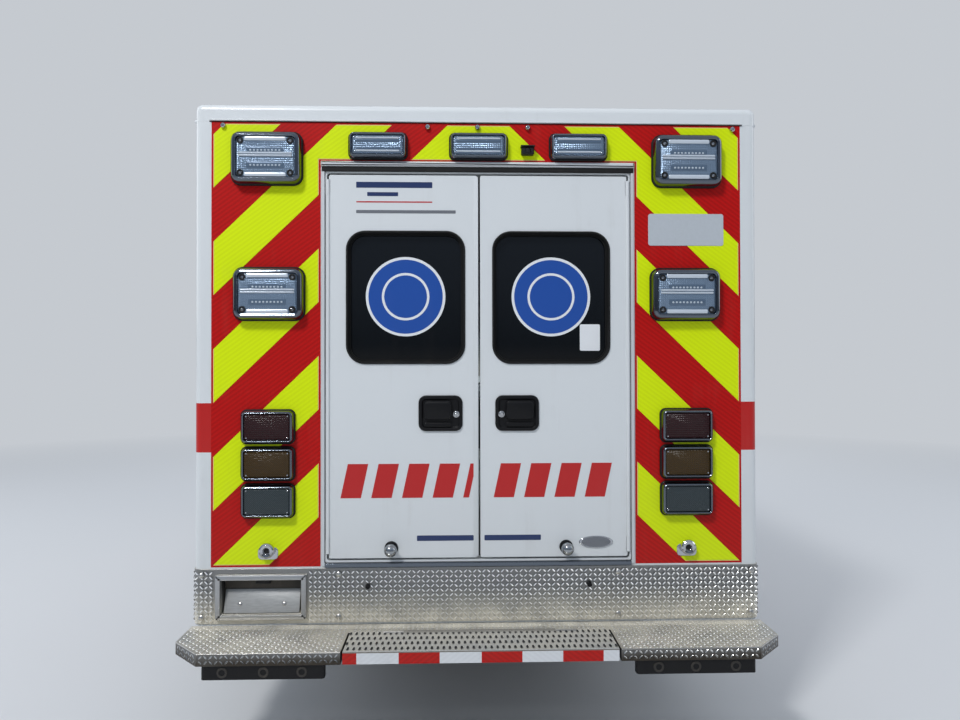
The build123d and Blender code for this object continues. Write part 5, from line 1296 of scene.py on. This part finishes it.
# Rear doors. Painted leaves with tinted glass in rubber, black paddle handles, film roundels on the
# glass, a row of slanted red film marks, thin rules, and chromed hold-open balls on rubber feet.
ROUNDEL_AT = (0.301, 1.876)
PANE_Y = -3.069
HANDLE_X = 0.157
HANDLE_Z = 1.396
MARKS_X = (-0.565, 0.548)
MARKS_Z = (1.051, 1.190)
MARK_COUNT = 9
MARK_GAP = 0.042
MARK_LEAN = 0.030
SLIP_T = 0.0006
FOOT_RULE = (0.232, 0.022)
FOOT_RULE_AT = (0.138, 0.886)
STICKER = (0.084, 0.110, 0.006)
STICKER_AT = (0.463, 1.707)
BALL_AT = (0.358, 0.847)
BALL_SECTION = [
    (0, 0.070), (0.012, 0.068), (0.021, 0.060), (0.026, 0.048), (0.025, 0.036), (0.018, 0.025),
    (0.014, 0.010),
]
LINER = [(0, 0.010), (0.006, 0.001), (0.001, -0.004)]
ball_chrome = coat("ball_chrome", (0.38, 0.40, 0.42), 0.16, 1, dirt=0.20, reach=1.2, depth=0.0, edge=0.002)
blue_film = coat("blue_film", (0.012, 0.075, 0.36), 0.30, dirt=0.05, depth=0.02, edge=0.0)
white_film = coat("white_film", (0.80, 0.82, 0.84), 0.32, dirt=0.05, depth=0.02, edge=0.0)
red_film = coat("red_film", (0.50, 0.012, 0.012), 0.32, dirt=0.06, depth=0.02, edge=0.0)
navy_film = coat("navy_film", (0.016, 0.033, 0.115), 0.32, dirt=0.05, depth=0.02, edge=0.0)
grey_film = coat("grey_film", (0.16, 0.17, 0.19), 0.32, dirt=0.05, depth=0.02, edge=0.0)
RINGS = (
    (0.164, 0.0006, white_film), (0.153, 0.0010, blue_film), (0.098, 0.0014, white_film),
    (0.088, 0.0018, blue_film),
)
RULES = (
    (-0.501, -0.190, 2.332, 0.024, navy_film), (-0.456, -0.330, 2.294, 0.016, navy_film),
    (-0.501, -0.190, 2.262, 0.005, red_film), (-0.501, -0.094, 2.222, 0.013, grey_film),
)
handle_black = coat(
    "handle_black", (0.005, 0.005, 0.006), 0.38, dirt=0.02, grain=800, depth=0.12, edge=0.002,
    Specular_IOR_Level=0.25,
)


def slip(width, height, radius=0.003):
    """A thin film patch that lies on the paint."""
    return plate(width, height, radius, [(0, SLIP_T)], corner=4)


for hand, side in HANDS:
    body = f"{hand}_rear_door"
    leaf_low, leaf_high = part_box(body)
    low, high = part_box(f"{hand}_rear_window")
    pane = (low + high) / 2
    pane_w, pane_h = high.x - low.x, high.z - low.z
    seal = plate(pane_w + 0.010, pane_h + 0.010, 0.078, WINDOW_SEAL, True, corner=10)
    liner = plate(pane_w - 0.012, pane_h - 0.012, 0.066, LINER, True, corner=10)
    assemble(f"{hand}_rear_window_seal", [
        (seal, on_rear(pane.x, pane.z), black_rubber),
        (liner, on_rear(pane.x, pane.z, PANE_Y), black_rubber),
    ], body)
    roundel = on_rear(side * ROUNDEL_AT[0], ROUNDEL_AT[1], PANE_Y)
    parts = []
    for radius, height, finish in RINGS:
        parts.append((turned([(0, height), (radius, height), (radius, 0)], 72), roundel, finish))
    step = (MARKS_X[1] - MARKS_X[0] + MARK_GAP - MARK_LEAN) / MARK_COUNT
    mark_h = MARKS_Z[1] - MARKS_Z[0]
    for i in range(MARK_COUNT):
        start = MARKS_X[0] + MARK_LEAN / 2 + i * step
        ends = (max(start, leaf_low.x + 0.020), min(start + step - MARK_GAP, leaf_high.x - 0.020))
        if ends[1] - ends[0] > 0.02:
            mark = slip(ends[1] - ends[0], mark_h, 0)
            for vert in mark.verts:
                vert.co.x += vert.co.y * MARK_LEAN / mark_h
            parts.append((mark, on_rear(sum(ends) / 2, sum(MARKS_Z) / 2), red_film))
    foot_rule_at = on_rear(side * FOOT_RULE_AT[0], FOOT_RULE_AT[1])
    parts.append((slip(*FOOT_RULE), foot_rule_at, navy_film))
    if side < 0:
        for left, right, z, tall, finish in RULES:
            rule = slip(right - left, tall, 0.002)
            parts.append((rule, on_rear((left + right) / 2, z), finish))
    else:
        parts.append((slip(*STICKER), on_rear(*STICKER_AT, PANE_Y), white_film))
    assemble(f"{hand}_rear_door_films", parts, body)
    handle = on_rear(side * HANDLE_X, HANDLE_Z)
    dish = plate(0.180, 0.146, 0.030, [(0, 0.005), (0.003, 0.004), (0.010, 0.001), (0.006, -0.005)], corner=7)
    paddle = plate(0.112, 0.076, 0.016, [(0, 0.014), (0.003, 0.005), (0.006, 0.002)], corner=5)
    bar = plate(0.112, 0.018, 0.006, [(0, 0.009), (0.003, 0.002)])
    barrel = turned([
        (0, 0.009), (0.008, 0.009), (0.009, 0.006), (0.013, 0.006), (0.014, 0.004), (0.014, 0),
    ], 24)
    assemble(f"{hand}_rear_handle", [
        (dish, handle, handle_black), (paddle, handle @ shift(side * 0.010, 0.012, 0.004), handle_black),
        (bar, handle @ shift(side * 0.010, -0.046, 0.004), handle_black),
        (barrel, handle @ shift(-side * 0.064, -0.004, 0.004), chrome),
    ], body, bevel=0.001)
    ball = on_rear(side * BALL_AT[0], BALL_AT[1])
    foot = turned([(0, 0.010), (0.018, 0.010), (0.026, 0.007), (0.028, 0.004), (0.028, 0)], 36)
    knob = turned(BALL_SECTION, 32)
    parts = [(foot, ball, handle_black), (knob, ball, ball_chrome)]
    assemble(f"{hand}_hold_open_ball", parts, body)

# Meeting strip and badge. A thin painted lip is riveted to the left leaf over the joint, and an oval
# badge of chromed plastic with a blank grey field is stuck on the right leaf.
BADGE_AT = (0.481, 0.866)
BADGE_HALF = (0.0705, 0.0245, 1)
strip = plate(0.020, leaf_high.z - leaf_low.z - 0.012, 0.002, [(0, 0.0010), (0.001, 0.0004)])
assemble("meeting_strip", [
    (strip, on_rear(-0.012, (leaf_low.z + leaf_high.z) / 2), white_paint),
], "left_rear_door")
badge = turned([(0, 0.0042), (0.86, 0.0042), (0.90, 0.0050), (0.96, 0.0046), (1.0, 0.002), (1.0, 0)], 64)
field = turned([(0, 0.0050), (0.84, 0.0048), (0.86, 0.004)], 64)
for oval in (badge, field):
    bmesh.ops.scale(oval, vec=BADGE_HALF, verts=oval.verts)
badge_at = on_rear(*BADGE_AT)
parts = [(badge, badge_at, chrome), (field, badge_at, grey_film)]
assemble("oval_badge", parts, "right_rear_door")

# Kick plate and rear bumper. Bright aluminium tread plate, folded and bolted on, with lozenges
# raised in a basket pattern on every face. A recess with a smooth frame holds the number plate.
LOZENGE_PITCH = 0.0190
LOZENGE_L = 0.0090
LOZENGE_W = 0.0028
LOZENGE_H = 0.0012
EDGE_R = 0.0022
STEP_Z = 0.540
BACK_Y = cad_box[0][1]
kick_low, kick_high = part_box("kick_plate")
STEP_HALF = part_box("rear_bumper")[1].x
BLOCK_IN_X = 0.519
BLOCK_MID_Y = (kick_low.y + BACK_Y) / 2
HALF_EDGE_H = 0.0225
EDGE_FACE_H = 0.0445
CHAMFER_FROM = (STEP_HALF, -3.275)
CHAMFER_TO = (1.043, BACK_Y)
CORNER_Y = -3.066
LEDGE_Y = -3.195
LEDGE_W = 1.020
RECESS = (-1.042, -0.722, 0.589, 0.724)
RECESS_CLEAR = 0.034
BOARD_IN_X = 0.905
SPLASH_TOP_Z = 0.690
GRIME_SHADE_TOP_Z = 0.555
BODY_FROM_Y = -3.150

# Settled dust lies on what faces up, which also paints light on the tops; it splashes the foot of the body;
# and the step's low upright faces are darkened by grime and painted shade.
tree, given, result = effect(
    "dust_and_painted_light",
    [("Colour", "Color", (0.5, 0.5, 0.5, 1)), ("Dust colour", "Color", (0.53, 0.50, 0.42, 1)),
     ("Dust", "Float", 0.5)],
    [("Colour", "Color"), ("Metallic", "Float")],
)
facing_up = wire(tree, "SeparateXYZ", {0: wire(tree, "NewGeometry").outputs["Normal"]}).outputs[2]
# Lighter dust on faces that look up, which also stands as painted light falling on the tops.
dust_and_top_light = calc(tree, "MULTIPLY", calc(tree, "MULTIPLY_ADD", facing_up, 2.0, -1.0, clamp=True), given["Dust"])
spot = wire(tree, "TexCoord").outputs["Object"]
place = wire(tree, "SeparateXYZ", {0: spot}).outputs
cloud = wire(tree, "TexNoise", {"Vector": spot, "Scale": 9.0, "Detail": 7.0}).outputs[0]
splash = calc(tree, "DIVIDE", calc(tree, "SUBTRACT", SPLASH_TOP_Z, place[2]), 0.110, clamp=True)
body_side = calc(tree, "GREATER_THAN", place[1], BODY_FROM_Y)
splash = calc(tree, "MULTIPLY", calc(tree, "MULTIPLY", splash, body_side), 1.1)
dust_and_top_light = calc(tree, "MAXIMUM", dust_and_top_light, calc(tree, "MULTIPLY", splash, given["Dust"]))
dust_and_top_light = calc(tree, "MULTIPLY", dust_and_top_light, calc(tree, "MULTIPLY_ADD", cloud, 1.3, 0.25), clamp=True)
# The step's upright faces low down are darkened nearly to black: partly grime, partly painted shade.
grime_and_shade = calc(tree, "DIVIDE", calc(tree, "SUBTRACT", GRIME_SHADE_TOP_Z, place[2]), 0.050, clamp=True)
grime_and_shade = calc(tree, "MULTIPLY", grime_and_shade, calc(tree, "MULTIPLY_ADD", cloud, 0.8, 0.60), clamp=True)
upright = calc(tree, "SUBTRACT", 1.0, calc(tree, "ABSOLUTE", facing_up), clamp=True)
grime_and_shade = calc(tree, "MULTIPLY", grime_and_shade, upright)
grime_and_shade = calc(tree, "MULTIPLY", grime_and_shade, calc(tree, "SUBTRACT", 1.0, body_side))
grimed_and_shaded = blended(tree, grime_and_shade, given["Colour"], (0.055, 0.048, 0.040, 1))
dust = blended(tree, splash, given["Dust colour"], (0.72, 0.68, 0.58, 1))
tree.links.new(blended(tree, dust_and_top_light, grimed_and_shaded, dust), result["Colour"])
bare = calc(tree, "SUBTRACT", 1.0, calc(tree, "MULTIPLY", dust_and_top_light, 0.85), clamp=True)
tree.links.new(bare, result["Metallic"])


def dusted_and_lit(finish, dust):
    """Adds settled dust, with painted light on the tops and painted shade low on the step, between a finish's
    own colour and its road dirt.
    """
    tree = finish.node_tree
    layer = tree.nodes["dirt"].inputs["Colour"]
    cover = wire(tree, "Group", node_tree=bpy.data.node_groups["dust_and_painted_light"], name="dust")
    tree.links.new(layer.links[0].from_socket, cover.inputs["Colour"])
    cover.inputs["Dust"].default_value = dust
    tree.links.new(cover.outputs["Colour"], layer)
    tree.links.new(cover.outputs["Metallic"], tree.nodes["Principled BSDF"].inputs["Metallic"])
    return finish


tread_plate = coat(
    "tread_plate", (0.31, 0.31, 0.305), 0.34, 1, dirt=0.26, reach=0.85, grain=260, depth=0.10, edge=0.002,
    worn=(0.60, 0.60, 0.58), mottle=0.22,
)
worn_lozenge = coat(
    "worn_lozenge", (0.97, 0.97, 0.96), 0.17, 1, dirt=0.12, reach=0.8, depth=0.05, edge=0.0, mottle=0.10
)
scuffed_plate = coat(
    "scuffed_plate", (0.56, 0.57, 0.57), 0.45, 0.5, dirt=0.35, reach=1.1, grain=(30, 30, 200), depth=0.2,
    mottle=0.4,
)
step_plate = coat(
    "step_plate", (0.30, 0.29, 0.26), 0.62, 0.6, dirt=0.45, reach=0.9, grain=260, depth=0.15, mottle=0.3
)
dusted_and_lit(tread_plate, 0.9)
dusted_and_lit(worn_lozenge, 0.7)
finish_nodes(tread_plate, "kick_plate", "rear_bumper", "running_boards")
finish_nodes(step_plate, "folding_step")
finish_nodes(handle_black, "dock_rubbers")


def lozenge_rows(place, width, height, keep=None):
    """Places for lozenges that lean by turns to the left and to the right."""
    columns, rows = int(width / LOZENGE_PITCH), int(height / LOZENGE_PITCH)
    spots = []
    for i in range(columns):
        for j in range(rows):
            u = (i - (columns - 1) / 2) * LOZENGE_PITCH
            v = (j - (rows - 1) / 2) * LOZENGE_PITCH
            if keep is None or keep(u, v):
                lean = radians(45 if (i + j) % 2 else -45)
                spots.append(place @ shift(u, v) @ spin(lean))
    return spots


def lozenge():
    """One raised lozenge: a stretched six-sided plate whose top is drawn in."""
    bm = bmesh.new()
    bmesh.ops.create_circle(bm, cap_ends=True, segments=6, radius=1)
    bmesh.ops.scale(bm, vec=(LOZENGE_L, LOZENGE_W * 1.155, 1), verts=bm.verts)
    bmesh.ops.inset_individual(bm, faces=bm.faces, thickness=0.0014, depth=LOZENGE_H)
    return bm


kick_mid = (kick_low.z + kick_high.z) / 2
kick_tall = kick_high.z - kick_low.z


def off_recess(u, v):
    """Whether a lozenge on the kick plate stays clear of the recess and its frame."""
    left, right, low, high = RECESS
    over = low - RECESS_CLEAR < v + kick_mid < high + RECESS_CLEAR
    return not (over and left - RECESS_CLEAR < u < right + RECESS_CLEAR)


def on_block(x, y):
    """Whether a lozenge on a step block's top stays inside the cut-off corner."""
    slant = (CHAMFER_TO[0] - CHAMFER_FROM[0]) * (CHAMFER_FROM[1] - y) / (CHAMFER_FROM[1] - BACK_Y)
    return y > CHAMFER_FROM[1] or abs(x) < CHAMFER_FROM[0] + slant - 0.012


rubbed = []
spots = lozenge_rows(on_rear(0, kick_mid, kick_low.y), 2 * HALF_W - 0.012, kick_tall - 0.006, off_recess)
for hand, side in HANDS:
    spots += lozenge_rows(on(hand, side * kick_high.x, CORNER_Y, kick_mid), 0.050, kick_tall - 0.006)
    middle = side * (STEP_HALF + BLOCK_IN_X) / 2
    spots += lozenge_rows(
        on("top", middle, BLOCK_MID_Y, STEP_Z), STEP_HALF - BLOCK_IN_X - 0.004, kick_low.y - BACK_Y - 0.004,
        lambda u, v: on_block(u + middle, v + BLOCK_MID_Y),
    )
    edge_z = STEP_Z - HALF_EDGE_H
    rear_w = CHAMFER_TO[0] - BLOCK_IN_X
    rear_face = on_rear(side * (CHAMFER_TO[0] + BLOCK_IN_X) / 2, edge_z, BACK_Y)
    spots += lozenge_rows(rear_face, rear_w - 0.004, EDGE_FACE_H)
    run = Vector((CHAMFER_FROM[0] - CHAMFER_TO[0], CHAMFER_FROM[1] - CHAMFER_TO[1]))
    centre = (side * (CHAMFER_FROM[0] + CHAMFER_TO[0]) / 2, (CHAMFER_FROM[1] + CHAMFER_TO[1]) / 2)
    turn = spin(side * run.angle_signed(Vector((1, 0))))
    slope = shift(*centre, edge_z) @ turn @ OUTWARD["rear"].to_4x4()
    spots += lozenge_rows(slope, run.length - 0.01, EDGE_FACE_H)
    for face, width in ((rear_face, rear_w), (slope, run.length)):
        bead = turned([(0, 0), (EDGE_R, 0), (EDGE_R, width), (0, width)], 12)
        along = face @ shift(-width / 2, HALF_EDGE_H - EDGE_R / 2, -EDGE_R / 2) @ spin(pi / 2, "Y")
        rubbed.append((bead, along, nut_steel))
    side_face = on(hand, side * STEP_HALF, (kick_low.y + CHAMFER_FROM[1]) / 2, edge_z)
    spots += lozenge_rows(side_face, kick_low.y - CHAMFER_FROM[1] - 0.01, EDGE_FACE_H)
spots += lozenge_rows(on("top", 0, (kick_low.y + LEDGE_Y) / 2, STEP_Z), LEDGE_W, 0.090)
assemble("rear_tread_pattern", [(lozenge(), spots, worn_lozenge)] + rubbed)
for hand, side in HANDS:
    low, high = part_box("running_boards")
    board = on("top", side * (high.x + BOARD_IN_X) / 2, (low.y + high.y) / 2, high.z)
    spots = lozenge_rows(board, high.x - BOARD_IN_X - 0.012, high.y - low.y - 0.012)
    assemble(f"{hand}_board_tread_pattern", [(lozenge(), spots, worn_lozenge)])

# Number plate recess. A pressed pan behind the kick plate in a smooth riveted frame, with a scuffed
# plate holder leaning in it on two screws, and a small black lamp under its top edge. The pan's back
# is black, as painted shade in the top of the recess.
FRAME = [(0, 0.0085), (0.002, 0.0012), (0.017, 0), (0.002, -0.002)]
SHEET = [(0, 0.0015), (0.001, 0.0005)]
PAN_DEPTH = 0.046
HOLDER_LEAN = radians(-22)
HOLDER_SCREW_X = 0.089
recess_at = on_rear((RECESS[0] + RECESS[1]) / 2, (RECESS[2] + RECESS[3]) / 2, kick_low.y)
recess_w, recess_h = RECESS[1] - RECESS[0], RECESS[3] - RECESS[2]
recess_frame = plate(recess_w + 0.044, recess_h + 0.044, 0.010, FRAME, True)
# The pan's back is painted black, for the shadow in the top of the recess.
back = plate(recess_w - 0.006, recess_h - 0.006, 0.004, SHEET)
lamp_case = plate(0.060, 0.020, 0.005, [(0, 0.016), (0.003, 0.004)])
slot_screw = turned([(0, 0.004), (0.006, 0.0035), (0.009, 0.0015), (0.009, 0)], 16)
inside = recess_at @ shift(0, 0, -PAN_DEPTH)
panel = plate(recess_w - 0.016, recess_h * 0.70, 0.004, SHEET)
leaning = inside @ shift(0, -recess_h * 0.16, 0.022) @ spin(HOLDER_LEAN, "X")
assemble("number_plate_recess", [
    (recess_frame, recess_at, sheet_aluminium), (back, inside, chassis_black),
    (panel, leaning, scuffed_plate),
    (lamp_case, inside @ shift(0, recess_h / 2 - 0.012, 0.001), black_plastic),
    (slot_screw, [leaning @ shift(side * HOLDER_SCREW_X, -0.012, 0.002) for side in SIDES], nut_steel),
])

# Dock rubbers and bolts. The black rubber blocks that take the knocks under the step are each held
# by three bolts in sunk holes. The kick plate has two rubber door stops and a bolt near each corner.
BLOCK_BOLTS_X = (0.66, 0.80, 0.95)
BLOCK_BOLTS_Z = 0.468
STOP_AT = (0.452, 0.696)
PLATE_BOLTS_X = (1.122, 0.570)
PLATE_BOLTS_Z = (0.575, 0.745)
LEDGE_SHADE_Z = 0.5185
hole = turned([(0, 0.001), (0.011, 0.001), (0.011, 0.0)], 24)
rim = turned([(0.011, 0.0), (0.012, 0.003), (0.018, 0.003), (0.020, 0.0), (0.011, 0.0)], 24)
hole_y = BACK_Y + 0.008
holes = [on_rear(side * x, BLOCK_BOLTS_Z, hole_y) for side in SIDES for x in BLOCK_BOLTS_X]
stop = turned([(0, 0.014), (0.007, 0.014), (0.010, 0.010), (0.011, 0.0)], 24)
stops = [on_rear(side * STOP_AT[0], STOP_AT[1], kick_low.y) for side in SIDES]
bolt = turned([(0, 0.006), (0.007, 0.005), (0.011, 0.0015), (0.011, 0)], 16)
bolts = [
    on_rear(side * x, z, kick_low.y) for side in SIDES for x in PLATE_BOLTS_X for z in PLATE_BOLTS_Z
]
# A thin black strip on the rear face of the ledge behind the step is painted shade, darkening a face that
# shows in the gap.
ledge_shade_strip = plate(LEDGE_W, 0.041, 0.002, [(0, 0.0012), (0.001, 0.0005)])
assemble("bumper_bolts", [
    (hole, holes, handle_black), (rim, holes, tyre_black),
    (ledge_shade_strip, on_rear(0, LEDGE_SHADE_Z, LEDGE_Y), black_rubber),
    (stop, stops, handle_black), (bolt, bolts, nut_steel),
])

# Folding step. A channel of pressed grip grating with four rows of toothed holes whose rims are
# drawn up, hinged between the step blocks, with red and white tape along its rear edge.
GRATE_COLUMNS = 46
GRATE_ROWS = 4
TEETH = 5
TOOTH_IN = 0.80
HOLE_SHARE = (0.33, 0.42)
RIM_RISE = 0.0012
GRATE_T = 0.0015
TAPE_H = 0.040
TAPE_RUNS = (14, 42, 41, 42, 41, 41, 41, 16)
step_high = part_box("folding_step")[1]
grate_depth = step_high.y - BACK_Y
cell_w = 2 * step_high.x / GRATE_COLUMNS
cell_d = grate_depth / GRATE_ROWS
outline = bpy.data.curves.new("grating", "CURVE")
outline.dimensions = "2D"
outline.fill_mode = "BOTH"


def closed_run(points):
    """One closed line of the grating: its outline or the outline of a hole."""
    run = outline.splines.new("POLY")
    run.points.add(len(points) - 1)
    for point, (x, y) in zip(run.points, points):
        point.co = (x, y, 0, 1)
    run.use_cyclic_u = True


half_x, half_y = step_high.x - 0.0005, grate_depth / 2 - 0.0005
closed_run([(-half_x, -half_y), (half_x, -half_y), (half_x, half_y), (-half_x, half_y)])
for i in range(GRATE_COLUMNS):
    for j in range(GRATE_ROWS):
        x = (i + (0.28 if j % 2 else 0.72)) * cell_w - step_high.x
        y = (j + 0.5) * cell_d - grate_depth / 2
        points = []
        for k in range(2 * TEETH):
            reach = 1.0 if k % 2 else TOOTH_IN
            turn = pi * (k + 0.5) / TEETH
            across = cos(turn) * cell_w * HOLE_SHARE[0] * reach
            points.append((x + across, y + sin(turn) * cell_d * HOLE_SHARE[1] * reach))
        closed_run(points)
flat = in_scene("grating", outline)
bpy.context.view_layer.update()
sheet = bpy.data.meshes.new_from_object(flat)
bpy.data.objects.remove(flat)
grating = bmesh.new()
grating.from_mesh(sheet)
bmesh.ops.remove_doubles(grating, verts=grating.verts, dist=1e-6)
outer_rim = {
    vert for vert in grating.verts if abs(vert.co.x) >= half_x - 0.001 or abs(vert.co.y) >= half_y - 0.001
}
rims = [edge for edge in grating.edges if edge.is_boundary and outer_rim.isdisjoint(edge.verts)]
raised = bmesh.ops.extrude_edge_only(grating, edges=rims)["geom"]
bmesh.ops.translate(grating, vec=(0, 0, RIM_RISE), verts=only(bmesh.types.BMVert, raised))
bmesh.ops.solidify(grating, geom=grating.faces, thickness=GRATE_T)
shadow = plate(2 * half_x - 0.004, grate_depth - 0.010, 0, [(0, 0.0004)])
grate_at = shift(0, (step_high.y + BACK_Y) / 2, STEP_Z)
assemble("step_grating", [
    (grating, grate_at @ shift(0, 0, 0.0020), worn_lozenge), (shadow, grate_at, handle_black),
], "folding_step")

tape_white = film("tape_white", (0.72, 0.74, 0.76), 0.95, 0.02)
parts = []
start = -step_high.x
for i, run in enumerate(TAPE_RUNS):
    width = 2 * step_high.x * run / sum(TAPE_RUNS)
    place = on_rear(start + width / 2, STEP_Z - 0.024, BACK_Y)
    parts.append((slip(width, TAPE_H, 0), place, tape_white if i % 2 else film_red))
    start += width
assemble("step_tape", parts, "folding_step")
size = {"cad": cad_box, "visual": [[float(value) for value in corner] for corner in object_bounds()]}
